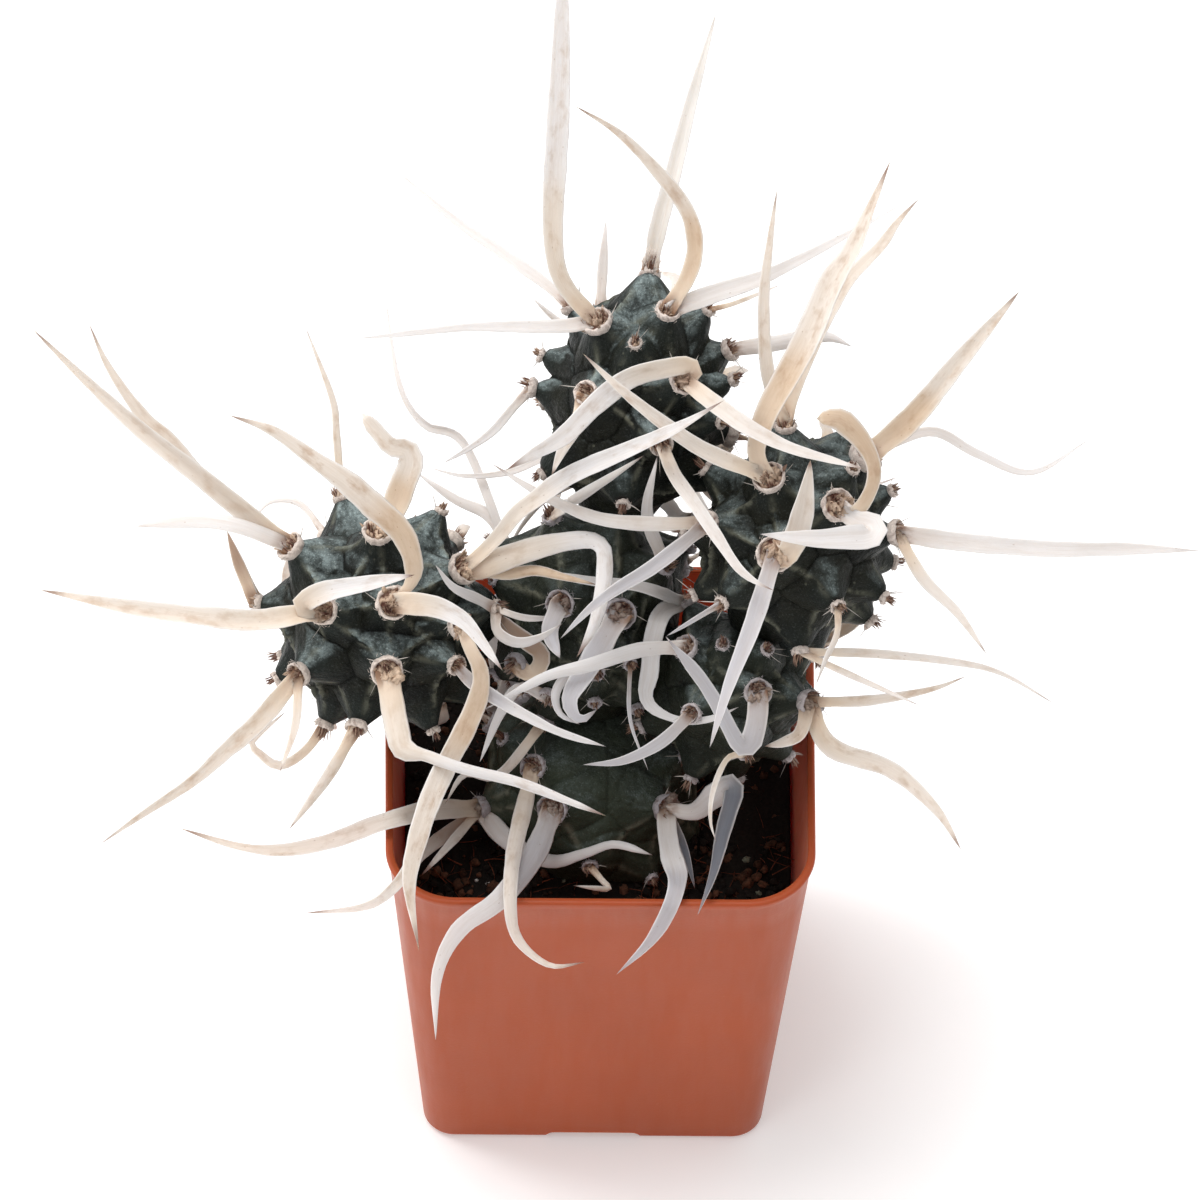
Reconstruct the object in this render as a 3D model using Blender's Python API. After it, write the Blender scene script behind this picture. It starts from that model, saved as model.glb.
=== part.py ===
"""Potted paper spine cactus: six jointed stem segments with flat papery spines, in a square pot.

The origin is on the surface the pot stands on, under the middle of the pot. X is across, Y is
toward the back, Z is up. Lengths are in millimetres in the constants and become metres in MM.
"""
import math
import random

import bmesh
import bpy
import numpy as np
from mathutils import Vector
from mathutils.bvhtree import BVHTree

MM = 0.001

# Pot: a tapering square with round corners.
POT_HEIGHT = 88.8
RIM_HALF = 42.5
FOOT_HALF = 33.9
RIM_CORNER = 13.6
FOOT_CORNER = 6.2
WALL = 1.1
LIP_HEIGHT = 2.4
LIP_OUT = 0.45
FLOOR_TOP = 3.8
FOOT_FILLET = 1.5
NOTCH_WIDTH = 19.0
NOTCH_HEIGHT = 2.1
NOTCH_DEPTH = 20.0
DRAIN_RADIUS = 2.6

# Soil: fills the pot to this height, clear of the wall and of the buried stem.
SOIL_TOP = 66.0
GAP = 0.3

# The plant is described in the plane of somebody who looks down on it by this angle, turned and
# tilted by the two small ones: across to the right, up in that plane, and near toward the eye.
# All three are zero at the middle of the rim.
LOOK_DOWN = math.radians(52.0)
LOOK_TURN = math.radians(1.6)
LOOK_ROLL = math.radians(1.7)
LEVEL = np.array((math.cos(LOOK_TURN), -math.sin(LOOK_TURN), 0.0))
AHEAD = np.array((math.sin(LOOK_TURN), math.cos(LOOK_TURN), 0.0))
RAISED = AHEAD * math.sin(LOOK_DOWN) + np.array((0.0, 0.0, math.cos(LOOK_DOWN)))
RIGHT = LEVEL * math.cos(LOOK_ROLL) + RAISED * math.sin(LOOK_ROLL)
UPWARD = RAISED * math.cos(LOOK_ROLL) - LEVEL * math.sin(LOOK_ROLL)
NEARER = np.cross(RIGHT, UPWARD)
RIM_MIDDLE = np.array((0.0, 0.0, POT_HEIGHT))

AREOLE_RADIUS = 1.7
SPINE_THICK = 0.7
SPREAD = 0.2

# Segments: middle (x, y, z), radius and half length of the valleys between tubercles, the way the
# axis leans, tubercle height, the segment that carries it, and the areoles seen from the front as
# (across, up).
SEGMENTS = {
    "segment_base": dict(
        middle=(-1.8, 0.0, 71.0), radius=20.2, half=20.0, lean=(0.0, 0.1, 1.0), bump=3.8, on=None,
        areoles=((-9.5, -15.0), (13.3, -14.8), (-24.0, -15.0), (-2.0, -26.5), (10.3, -29.0), (-13.4, -6.6),
                 (16.8, -4.6), (-19.5, -1.0), (20.5, -21.0))),
    "segment_middle": dict(
        middle=(-2.0, 15.0, 110.0), radius=17.4, half=20.5, lean=(0.0, 0.3, 1.0), bump=5.4,
        on="segment_base",
        areoles=((-16.8, 13.8), (7.4, 5.0), (-1.0, 6.2), (-10.5, 7.4), (-12.0, 0.6), (-9.5, 43.5),
                 (4.0, 24.0), (-8.0, 26.0), (13.0, 34.0), (4.2, 44.8), (-21.4, 31.0))),
    "segment_left": dict(
        middle=(-44.0, 6.0, 118.5), radius=17.6, half=20.0, lean=(-0.55, -0.1, 0.8), bump=6.8,
        on="segment_middle",
        areoles=((-61.8, 37.6), (-44.2, 40.6), (-52.0, 48.2), (-31.6, 44.6), (-69.2, 26.0),
                 (-55.2, 24.8), (-41.2, 26.2), (-27.2, 33.0), (-60.2, 12.0), (-42.4, 12.6),
                 (-28.6, 13.8), (-48.6, 1.4), (-33.2, 0.6), (-65.8, 10.4), (-55.4, 1.2),
                 (-20.6, 25.0))),
    "segment_right_low": dict(
        middle=(25.4, -1.5, 106.0), radius=13.8, half=15.5, lean=(0.2, 0.0, 1.0), bump=5.2,
        on="segment_middle",
        areoles=((17.0, 17.4), (18.2, 4.2), (31.5, 8.4), (41.6, 6.4), (33.4, 17.0), (16.0, 28.0),
                 (29.0, -4.0), (24.5, 18.0))),
    "segment_right_top": dict(
        middle=(37.6, 11.0, 138.4), radius=15.9, half=19.5, lean=(0.12, 0.25, 1.0), bump=6.2,
        on="segment_right_low",
        areoles=((33.6, 51.2), (47.4, 45.6), (37.0, 61.4), (59.2, 40.2), (58.4, 48.6), (56.8, 27.2),
                 (21.4, 42.2), (34.8, 36.0), (24.2, 26.2), (47.4, 25.4), (53.0, 55.4), (50.4, 53.0),
                 (40.0, 16.4))),
    "segment_top": dict(
        middle=(6.0, 34.6, 151.0), radius=15.0, half=23.0, lean=(0.12, 0.42, 0.9), bump=6.0,
        on="segment_middle",
        areoles=((-0.8, 82.6), (13.6, 84.6), (10.0, 92.6), (21.8, 84.8), (26.2, 76.8), (26.8, 70.8),
                 (-13.4, 76.4), (-14.0, 69.2), (-2.8, 68.0), (16.8, 70.6), (24.2, 62.2),
                 (12.2, 57.8), (4.6, 45.6), (-13.8, 50.2), (7.0, 78.0))),
}

# Spines drawn one by one, from the root outward: the segment, the greatest width or widths at shares
# of the length, how far the tip comes nearer than the root, and the route as (across, up). FAR marks
# a route that runs behind the segments it passes, with its root on the hidden side.
FAR = True
ROUTES = (
    ("segment_top", ((0, 3.2), (0.2, 3.7), (0.45, 4.7), (0.6, 4.5), (0.8, 3.3), (0.93, 2), (1, 0)), 36,
     ((-1, 82), (-4.4, 86), (-7.2, 89.6), (-8.8, 93.8), (-9.4, 100), (-9.3, 106.8), (-8.5, 120),
      (-7.9, 133.5), (-7.5, 146.8), (-7.3, 156))),
    ("segment_top", ((0, 3), (0.3, 2.6), (0.55, 1.6), (0.8, 1.2), (1, 0)), 4,
     ((-1, 82), (-7.3, 81.3), (-20.7, 81.2), (-27.3, 81), (-40.7, 79.6), (-49.3, 78.7))),
    ("segment_top", 3.6, 16, ((13.5, 85), (17.5, 91), (19, 97), (17.5, 104), (12, 111.5), (4, 119.5),
                              (-5, 125))),
    ("segment_top", 3.8, 22, ((10, 93), (11.6, 101), (14.6, 112), (18.4, 127), (23.2, 144))),
    ("segment_top", 2.6, 4, ((0, 84), (0.4, 91), (1.2, 102.6)), FAR),
    ("segment_top", ((0, 3), (0.12, 3.9), (0.3, 3.6), (0.45, 2.5), (0.7, 1.6), (1, 0)), 4,
     ((13.5, 85), (18, 86.2), (24, 88.3), (32, 90.9), (40, 94.7), (50, 100), (60.8, 105.9))),
    ("segment_top", 1.2, 3, ((22, 85), (27, 86), (36, 89.6))),
    ("segment_top", ((0, 2.6), (0.2, 3.3), (0.6, 3.3), (0.8, 2), (1, 0)), -4,
     ((26, 77), (35.1, 77.9), (40, 78.8), (45.7, 79.1), (50.4, 77.2))),
    ("segment_top", 2.6, -6, ((-6, 85.6), (-11.3, 90.1), (-20.7, 96.8), (-29.3, 102.8), (-40, 112)), FAR),
    ("segment_top", 3.8, 3, ((-2.8, 68), (-4.4, 62), (-7.4, 56.6), (-9.6, 51.6))),
    ("segment_top", ((0, 3), (0.12, 3.8), (0.5, 4.3), (0.72, 3.8), (0.88, 2.2), (1, 0)), 6,
     ((18, 70.6), (19.2, 72.2), (17.3, 73.6), (12.9, 72.9), (8.4, 71.9), (4.4, 70.1), (-1.3, 65.5),
      (-7.3, 59.5), (-14, 55.5), (-18.7, 52.6))),
    ("segment_top", ((0, 3), (0.2, 3.6), (0.4, 3.5), (0.65, 2.3), (0.85, 1.4), (1, 0)), 15,
     ((17.8, 70.4), (22.7, 65.9), (29, 61.4), (37.3, 57.2), (46, 54.6), (52.7, 52.8))),
    ("segment_top", ((0, 2.6), (0.3, 3), (0.6, 2.6), (0.85, 1.5), (1, 0)), 14,
     ((12.2, 57.6), (14.7, 51.8), (18.7, 46.1), (23, 39.8), (27.3, 33.5), (30.7, 30.6), (34.7, 28.6))),
    ("segment_top", 2.2, -3, ((-14, 69), (-17.5, 65), (-21.3, 60.6), (-25.6, 57.4), (-31.4, 54))),
    ("segment_top", 1.8, 2, ((-4, 80), (-9, 83), (-13.4, 87)), FAR),
    ("segment_middle", 2.0, 2, ((-18, 36), (-27, 58), (-35, 62), (-40, 70), (-43, 88)), FAR),
    ("segment_middle", 2.8, 0, ((-16, 40), (-22, 43.5), (-29, 47), (-37, 52.5)), FAR),
    ("segment_middle", 2.0, 4, ((-10, 42), (-8, 55.5), (-18, 52.4), (-27, 51.6), (-34.6, 53.4)), FAR),
    ("segment_middle", 3.0, 5, ((10, 34), (9.4, 44), (11.4, 55.5))),
    ("segment_left", ((0, 2.6), (0.2, 3), (0.4, 3.8), (0.6, 3.5), (0.8, 2.5), (1, 0)), 24,
     ((-27.2, 33.4), (-23, 36.6), (-19.3, 40.5), (-16.4, 44.1), (-12.7, 46.8), (-6, 51.5), (6, 56.8),
      (16, 61.4), (24.7, 66.5))),
    ("segment_right_top", 3.6, 2, ((33.2, 50.6), (21, 56.4), (12, 62.4), (4, 68.8), (-3.4, 75.8))),
    ("segment_right_top", 3.2, -6, ((21, 42), (10, 42), (0, 43), (-8, 46), (-14.4, 49.4), (-21.6, 54))),
    ("segment_right_top", ((0, 3.4), (0.12, 3.9), (0.3, 5.3), (0.45, 5.5), (0.6, 4.9), (0.8, 2.9), (1, 0)), 22,
     ((32.4, 51.2), (31.2, 55.5), (32.1, 60.8), (34, 65.5), (36.6, 70), (40, 76.1), (43.2, 82.8),
      (46, 89.5), (50.1, 96.1), (53.1, 102.8), (57.7, 114.1))),
    ("segment_right_top", ((0, 2.6), (0.5, 3), (0.8, 2.2), (1, 0)), 12,
     ((36.6, 61.2), (38.6, 68), (43.6, 80), (49.3, 90.2), (56, 97.4), (59.4, 102.2), (63.6, 106.8))),
    ("segment_right_top", 3.0, 16, ((36.4, 61), (33.4, 72), (32.6, 86), (33.8, 98), (35.2, 108.4))),
    ("segment_right_top", 5.2, 18, ((53, 55.6), (62, 63), (72, 75), (83.4, 88.2))),
    ("segment_right_top", ((0, 3.2), (0.1, 3.9), (0.5, 3.3), (0.75, 2.7), (0.88, 1.5), (1, 0)), 8,
     ((59.4, 40), (72, 38.4), (90, 37), (106, 37), (119.6, 36.6))),
    ("segment_right_top", 2.8, 2, ((59.4, 39), (64.4, 31), (71, 24.4), (77, 16))),
    ("segment_right_top", 2.2, -6, ((53.6, 55), (65.5, 60.4), (75, 56), (86, 52.2), (97.8, 59))),
    ("segment_right_top", ((0, 3), (0.35, 2.8), (0.55, 3), (0.7, 4.2), (0.84, 5), (0.94, 3.6), (1, 1.2)), 9,
     ((47.4, 44.4), (49.8, 43.8), (52.3, 45.8), (54.3, 50.1), (54.3, 54.1), (52.3, 58.1), (50, 60.8),
      (47.3, 62.8), (43, 62.8))),
    ("segment_right_top", ((0, 3.4), (0.18, 4), (0.32, 5.6), (0.5, 4.8), (0.7, 3.4), (0.85, 2.1), (1, 0)), 10,
     ((47.6, 43.8), (51, 42.6), (53.8, 42), (54.6, 40.6), (53.4, 39.4), (50, 39.2), (44, 38.9),
      (37.3, 39.3), (31.8, 39.9))),
    ("segment_right_top", 5.8, 9, ((34.8, 35.6), (37.6, 36.4), (40, 43.6), (41.8, 54.6))),
    ("segment_right_top", 4.0, 8, ((34.6, 34.4), (30.4, 22), (25.6, 9.6), (21.8, -2.6))),
    ("segment_right_top", 1.6, 2, ((47.4, 25), (47.2, 20), (45, 15), (43, 10))),
    ("segment_right_top", 1.4, 3, ((24, 26), (13.2, 19.6))),
    ("segment_right_top", 2.0, 4, ((40.4, 16.6), (54, 16.2), (70, 14.6), (80, 12.2), (90.4, 6.2))),
    ("segment_right_top", 1.6, 7, ((40.4, 15.8), (50, 11.8), (63.6, 5.8))),
    ("segment_right_low", 2.4, 6, ((42, 6.4), (54, 6.8), (66, 9), (73, 11.6))),
    ("segment_right_low", 4.2, 4, ((41.4, 5), (46, -2.4), (58, -7), (67, -15), (72, -23))),
    ("segment_right_low", 3.6, 1, ((41.4, 5), (40, 0.4), (36.6, -1.6), (32.8, -2.4))),
    ("segment_right_low", ((0, 4), (0.15, 4.2), (0.27, 4.6), (0.35, 3.4), (0.5, 3), (0.8, 2.6), (1, 0)), 9,
     ((31.5, 8), (31.4, 4), (30.6, 0), (29.4, -2.4), (27.4, -1.6), (23, 6.5), (19.3, 12.1), (13, 19.6))),
    ("segment_right_low", 2.6, 9, ((16, 28.2), (8, 29.4), (-1, 30.4), (-10, 31.8), (-19, 32.4))),
    ("segment_right_low", 3.4, 10, ((17, 17.4), (8, 16.8), (-2, 13.8), (-11, 11.4), (-23, 5))),
    ("segment_right_low", 2.8, 12, ((18.4, 3.2), (12, -1.6), (4.4, -5.2), (-3.4, -6))),
    ("segment_right_low", ((0, 3), (0.25, 3.9), (0.5, 3.7), (0.6, 2.6), (0.7, 1.6), (0.9, 1.3), (1, 0)), 12,
     ((16, 28), (12.6, 24.4), (10.6, 19), (9.9, 12.1), (9.1, 8.1), (10.7, 5.1), (16, 2.8), (22, 3.1),
      (27.7, 5.5))),
    ("segment_right_top", 3.3, 3, ((20.6, 41.4), (16, 37.6), (10, 33), (3.4, 29), (-2, 25), (-8, 19))),
    ("segment_middle", 5.4, 5, ((4, 24), (1, 19), (-2.6, 13), (-6, 7), (-4, 3), (-0.6, 5))),
    ("segment_middle", 2.4, 4, ((-1, 12.4), (-6, 12), (-8.8, 8.4), (-8, 4.2), (-4, 2))),
    ("segment_middle", 1.0, 8, ((6, 14), (6, 3), (9.6, -7.2))),
    ("segment_left", ((0, 2.4), (0.1, 2.8), (0.22, 4), (0.45, 4.5), (0.75, 3.6), (1, 0)), 14,
     ((-27.8, 21.8), (-25.8, 17), (-23.8, 12.6), (-24.2, 7.6), (-27, 0.9), (-29.6, -4), (-33.6, -12.4),
      (-36.4, -21), (-38, -30), (-36, -43))),
    ("segment_middle", ((0, 3), (0.2, 3.4), (0.45, 3.8), (0.7, 3.2), (0.9, 2.4), (1, 0.8)), 7,
     ((-16.8, 13.8), (-14.4, 12.2), (-12.2, 13.4), (-11.8, 16.2), (-14.9, 18.8), (-18.4, 21.6), (-20.2, 23.6))),
    ("segment_middle", 4.6, 4, ((-8, 26), (-10, 20.6), (-8, 15.2))),
    ("segment_middle", 2.8, 8, ((-9.5, 43.5), (-4, 47.4), (3, 51.8), (8.8, 55.6))),
    ("segment_middle", 2.4, 6, ((-12, 0.6), (-20, -8), (-27, -8), (-31, -14))),
    ("segment_middle", 2.6, 5, ((-10.5, 7.4), (-16, 9.4), (-20, 4), (-24, -5.6))),
    ("segment_left", ((0, 4.6), (0.1, 5.2), (0.3, 4.6), (0.45, 3.6), (0.55, 3.3), (0.68, 3.4), (0.8, 2.8),
                      (0.9, 1.8), (1, 0)), 9,
     ((-27.4, 32.6), (-24, 33.4), (-14.5, 36.7), (-7.3, 38.4), (-2.2, 38.8), (0.4, 37.6), (1, 34.6),
      (0.7, 29.5), (-0.6, 23.5), (-2.3, 19.4), (-4.7, 15.3))),
    ("segment_left", 2.8, 3, ((-27.2, 32.2), (-19, 32), (-13, 32.7), (-7.3, 31.4), (-0.4, 29.8))),
    ("segment_left", 1.7, 5, ((-20.6, 25), (-14.6, 23.2), (-6.8, 23.4))),
    ("segment_left", 2.6, 8, ((-20.6, 24), (-20.4, 20.6), (-16.5, 18.4), (-12, 19.4), (-7.4, 22.2))),
    ("segment_left", 2.6, 10, ((-20.6, 25), (-24.4, 27), (-29.4, 29.4), (-32.8, 33.8))),
    ("segment_left", 4.2, 16, ((-62.4, 38), (-71, 44.6), (-81, 52.6), (-91, 60.4), (-101, 69.4),
                               (-113, 80.8))),
    ("segment_left", 3.8, 12, ((-62.4, 37.4), (-71, 44), (-80, 51.6), (-85.4, 58.2), (-91.4, 63.8),
                               (-98, 73.4), (-101.8, 82))),
    ("segment_left", 3.2, 3, ((-69.4, 26), (-71.6, 33), (-74.4, 40.6))),
    ("segment_left", ((0, 1.6), (0.07, 2), (0.15, 3.8), (0.27, 4.7), (0.42, 5.3), (0.52, 4.9), (0.64, 3.6),
                      (0.85, 2), (1, 0)), 14,
     ((-40.8, 27), (-38.2, 29.4), (-37.2, 31.6), (-37.3, 35), (-39, 39.5), (-41.4, 42.4), (-44.7, 45.2),
      (-48.6, 48.8), (-52.4, 51.8), (-56, 54.2), (-65, 60.4), (-74, 63.6))),
    ("segment_left", ((0, 4.6), (0.3, 5.3), (0.55, 5.2), (0.66, 4), (0.75, 3.4), (0.92, 3), (1, 1)), 4,
     ((-43.6, 39.8), (-41.2, 44.4), (-38.9, 50.4), (-37.6, 54), (-38.6, 57), (-41.6, 57.4), (-44.2, 60.2),
      (-47.4, 64))),
    ("segment_left", 1.8, 6, ((-52, 48.4), (-52.6, 60), (-53.4, 67), (-58.8, 81.4))),
    ("segment_left", 4.8, 7, ((-55.4, 24), (-59.6, 25.6), (-55, 28.2), (-46, 30), (-36.8, 31.8))),
    ("segment_left", 4.6, 12, ((-56, 23.6), (-68, 22.6), (-80, 23.4), (-95, 25.4), (-111.4, 28.8))),
    ("segment_left", ((0, 3), (0.15, 3.8), (0.35, 3.6), (0.55, 2.4), (0.8, 1.4), (1, 0)), 13,
     ((-60.6, 11.6), (-68, 2.8), (-74.7, -3.2), (-81.3, -9.2), (-91.3, -15.9), (-99.9, -22.1))),
    ("segment_left", 2.2, -2, ((-55.4, 1), (-58, -2.4), (-61.3, -5.2), (-64.7, -6.2), (-68, -3.8),
                               (-69.7, -1.9), (-68, 0.1), (-62.7, 4.5))),
    ("segment_left", 2.2, 4, ((-60.2, 10.4), (-60.6, 2), (-63.8, -7.6))),
    ("segment_left", 2.8, -2, ((-48.8, 0.6), (-54, -8), (-62, -19))),
    ("segment_left", ((0, 2.8), (0.4, 3.3), (0.7, 3.2), (0.85, 2), (1, 0)), 8,
     ((-62.4, 39), (-72, 41.6), (-81.4, 42.8), (-92.6, 41.4))),
    ("segment_left", 1.6, -2, ((-55, 40), (-60, 46), (-66, 46.4), (-70, 42)), FAR),
    ("segment_left", ((0, 2.4), (0.2, 2.8), (0.45, 2.5), (0.65, 1.8), (0.85, 1.3), (1, 0)), 9,
     ((-28.2, 13.6), (-25.4, 10.6), (-19.5, 6.7), (-13.6, 3.4), (-7.8, 0.6), (1.3, -2.4))),
    ("segment_left", ((0, 4.2), (0.25, 4.7), (0.5, 3.6), (0.65, 2.8), (0.85, 1.7), (1, 0)), 8,
     ((-41.7, 26.2), (-38, 26.2), (-33, 25.6), (-29.4, 24.2), (-26.4, 22.2), (-23.4, 18.4), (-19.3, 12.7))),
    ("segment_left", ((0, 4.6), (0.1, 4.9), (0.24, 5.1), (0.29, 4.4), (0.34, 2.4), (0.5, 2.3), (0.75, 2),
                      (0.9, 1.3), (1, 0)), 7,
     ((-42.6, 12.8), (-42, 10), (-41, 3.5), (-39.7, -2.2), (-38.4, -3.6), (-36, -3.8), (-27.3, -6.8),
      (-16.7, -9.4), (-7.3, -12.9), (1.3, -16.2))),
    ("segment_base", 4.2, 11, ((-24, -15), (-33, -15.4), (-43, -17.6), (-54, -21.6), (-64, -23.4),
                               (-73, -22.4), (-84, -18.8))),
    ("segment_base", ((0, 3.6), (0.15, 4.2), (0.35, 3.4), (0.55, 2.3), (0.75, 1.8), (0.9, 1.5), (1, 0)), 15,
     ((-24, -15.6), (-18, -21.6), (-10, -25.4), (-3, -23.8), (3, -22), (10.6, -24.2))),
    ("segment_base", 3.0, 12, ((-24, -16), (-36, -24), (-41, -30.4), (-47, -34.4), (-59, -35.8))),
    ("segment_base", 5.0, 14, ((-9.5, -16), (-13, -24), (-20, -33), (-28, -39), (-32.4, -48),
                               (-32.8, -61))),
    ("segment_base", 3.8, 20, ((-13.4, -6.6), (-15, -14), (-17.2, -24), (-17.8, -34), (-16.2, -41),
                               (-10, -46), (-3, -45.4))),
    ("segment_right_low", 1.4, 4, ((29, -4), (25.4, -4.8), (22.6, -11), (22, -17), (23.2, -21.6))),
    ("segment_base", ((0, 3.6), (0.2, 4), (0.4, 4.8), (0.55, 3.4), (0.75, 2.9), (1, 0)), 16,
     ((13.3, -15.6), (13.3, -18.5), (14.1, -23.9), (15.3, -28.9), (13.9, -34.5), (10, -41.2), (3.2, -48))),
    ("segment_base", 2.0, 5, ((13.8, -16), (16.6, -22), (19, -31))),
    ("segment_base", ((0, 2.4), (0.15, 3.6), (0.28, 5), (0.36, 4.6), (0.5, 3.8), (0.7, 2.7), (1, 0)), 18,
     ((14, -15), (18.6, -15.6), (22.6, -12.6), (26.4, -9.8), (26.4, -12.6), (24.6, -19), (22.5, -27.9),
      (19.4, -36.2))),
    ("segment_base", 2.2, 12, ((-24, -14), (-30, -22), (-36, -28.6))),
    ("segment_base", 1.6, 7, ((-2, -26.4), (0.4, -29.2), (1.8, -30.8), (-0.6, -30.8), (-5.4, -30.2))),
)

# Hidden sides: areoles follow a golden-angle spiral, each with one or two drooping spines.
SPIRAL_TURN = math.radians(137.508)
SPIRAL_AREOLES = 34
HIDDEN_LENGTH = (30.0, 58.0)
HIDDEN_WIDTH = (3.0, 4.8)
STEPS = 24


def clear_scene():
    for item in list(bpy.data.objects):
        bpy.data.objects.remove(item, do_unlink=True)


def from_view(point):
    """Turns (across, up, near) rows into x, y, z rows."""
    rows = np.atleast_2d(np.asarray(point, dtype=float))
    return RIM_MIDDLE + rows[:, :1] * RIGHT + rows[:, 1:2] * UPWARD + rows[:, 2:3] * NEARER


def to_view(point):
    rows = np.atleast_2d(np.asarray(point, dtype=float)) - RIM_MIDDLE
    return np.stack((rows @ RIGHT, rows @ UPWARD, rows @ NEARER), axis=1)


def unit(vector):
    vector = np.asarray(vector, dtype=float)
    return vector / max(float(np.linalg.norm(vector)), 1e-9)


def ease(value):
    value = np.clip(value, 0.0, 1.0)
    return value * value * (3.0 - 2.0 * value)


def segment_axes(info):
    """Rows are the segment's own x, y and z directions."""
    along = unit(info["lean"])
    side = unit(np.cross((0.0, 1.0, 0.0), along))
    return np.stack((side, np.cross(along, side), along))


def local(info, points, pad=0.0):
    """Points in the segment's own directions, scaled so that its padded spheroid is a unit ball."""
    own = (np.atleast_2d(points) - np.asarray(info["middle"])) @ segment_axes(info).T
    return own / np.array((info["radius"] + pad, info["radius"] + pad, info["half"] + pad))


def spheroid_reach(info, directions):
    """How far the smooth body reaches along each direction of the world."""
    own = directions @ segment_axes(info).T
    scale = np.array((info["radius"], info["radius"], info["half"]))
    return 1.0 / np.linalg.norm(own / scale, axis=1)


def view_span(info, across, up, pad):
    """Nearest and farthest `near` of a padded spheroid on each sight line, or NaN beside it."""
    start = from_view(np.stack((across, up, np.zeros_like(across)), axis=1))
    scale = np.array((info["radius"] + pad, info["radius"] + pad, info["half"] + pad))
    origin = local(info, start, pad)
    step = (NEARER @ segment_axes(info).T) / scale
    a = step @ step
    b = origin @ step
    c = np.einsum("ij,ij->i", origin, origin) - 1.0
    with np.errstate(invalid="ignore"):
        root = np.sqrt(b * b - a * c)
    return (-b - root) / a, (-b + root) / a


def areole_direction(info, across, up, far=False):
    """Direction from the segment's middle to the tubercle tip seen at (across, up)."""
    pad = info["bump"]
    low, high = view_span(info, np.array((across,)), np.array((up,)), pad)
    near = low[0] if far else high[0]
    if math.isnan(near):
        near = float(to_view(info["middle"])[0, 2])
    return unit(from_view((across, up, near))[0] - np.asarray(info["middle"]))


def joint_direction(info):
    if info["on"] is None:
        return np.array((0.0, 0.0, -1.0))
    return unit(np.asarray(SEGMENTS[info["on"]]["middle"]) - np.asarray(info["middle"]))


def spiral_directions(info, taken):
    """The areoles of the hidden side, clear of the joint and of those already taken."""
    found = []
    axes = segment_axes(info)
    joints = [joint_direction(info)]
    for other in SEGMENTS.values():
        if other["on"] and SEGMENTS[other["on"]] is info:
            joints.append(-joint_direction(other))
    for index in range(SPIRAL_AREOLES):
        height = 1.0 - 2.0 * (index + 0.5) / SPIRAL_AREOLES
        ring = math.sqrt(1.0 - height * height)
        turn = index * SPIRAL_TURN
        way = np.array((ring * math.cos(turn), ring * math.sin(turn), height)) @ axes
        if way @ NEARER > 0.22:
            continue
        if any(way @ other > math.cos(0.42) for other in taken + found):
            continue
        if any(way @ joint > math.cos(0.62) for joint in joints):
            continue
        place = np.asarray(info["middle"]) + way * info["radius"]
        if place[2] < SOIL_TOP + 5.0:
            continue
        found.append(way)
    return found


def body_radius(info, directions, areoles):
    """Distance from the middle to the skin: a spheroid with a cone under every areole."""
    reach = spheroid_reach(info, directions)
    edge = AREOLE_RADIUS / info["radius"]
    closest = np.full(len(directions), -1.0)
    for areole in areoles:
        closest = np.maximum(closest, directions @ areole)
    angle = np.arccos(np.clip(closest, -1.0, 1.0))
    cone = np.exp(-np.maximum(angle - edge, 0.0) / SPREAD)
    joint = joint_direction(info)
    off_joint = np.arccos(np.clip(directions @ joint, -1.0, 1.0))
    calm = ease((off_joint - 0.3) / 0.4)
    neck = 6.5 * (1.0 - ease(off_joint / 0.55)) if info["on"] else 0.0
    return reach + info["bump"] * cone * calm + neck


def skin_directions(areoles, count):
    """A golden-angle lattice with a vertex in each areole and five around it."""
    points = []
    for areole in areoles:
        points.append(areole)
        side = unit(np.cross(areole, (0.3, 0.5, 0.8)))
        other = np.cross(areole, side)
        for k in range(5):
            turn = 2.0 * math.pi * k / 5
            points.append(unit(areole + 0.088 * (math.cos(turn) * side + math.sin(turn) * other)))
    fixed = np.array(areoles)
    for index in range(count):
        height = 1.0 - 2.0 * (index + 0.5) / count
        ring = math.sqrt(1.0 - height * height)
        turn = index * SPIRAL_TURN
        way = np.array((ring * math.cos(turn), ring * math.sin(turn), height))
        if np.max(fixed @ way) < math.cos(0.15):
            points.append(way)
    return np.array(points)


def mesh_object(name, bm):
    bmesh.ops.recalc_face_normals(bm, faces=bm.faces[:])
    mesh = bpy.data.meshes.new(name)
    bm.to_mesh(mesh)
    bm.free()
    item = bpy.data.objects.new(name, mesh)
    bpy.context.collection.objects.link(item)
    return item


def body_object(name, info, areoles, grow=0.0, count=250):
    """The closed skin of one segment, from the convex hull of its lattice."""
    ways = skin_directions(areoles, count)
    bm = bmesh.new()
    for way in ways:
        bm.verts.new(way)
    hull = bmesh.ops.convex_hull(bm, input=bm.verts[:])
    spare = [v for v in bm.verts if not v.link_faces]
    bmesh.ops.delete(bm, geom=spare, context="VERTS")
    ways = np.array([unit(v.co) for v in bm.verts])
    radius = body_radius(info, ways, areoles) + grow
    for vert, way, length in zip(bm.verts, ways, radius):
        vert.co = Vector((np.asarray(info["middle"]) + way * length) * MM)
    return mesh_object(name, bm)


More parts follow.
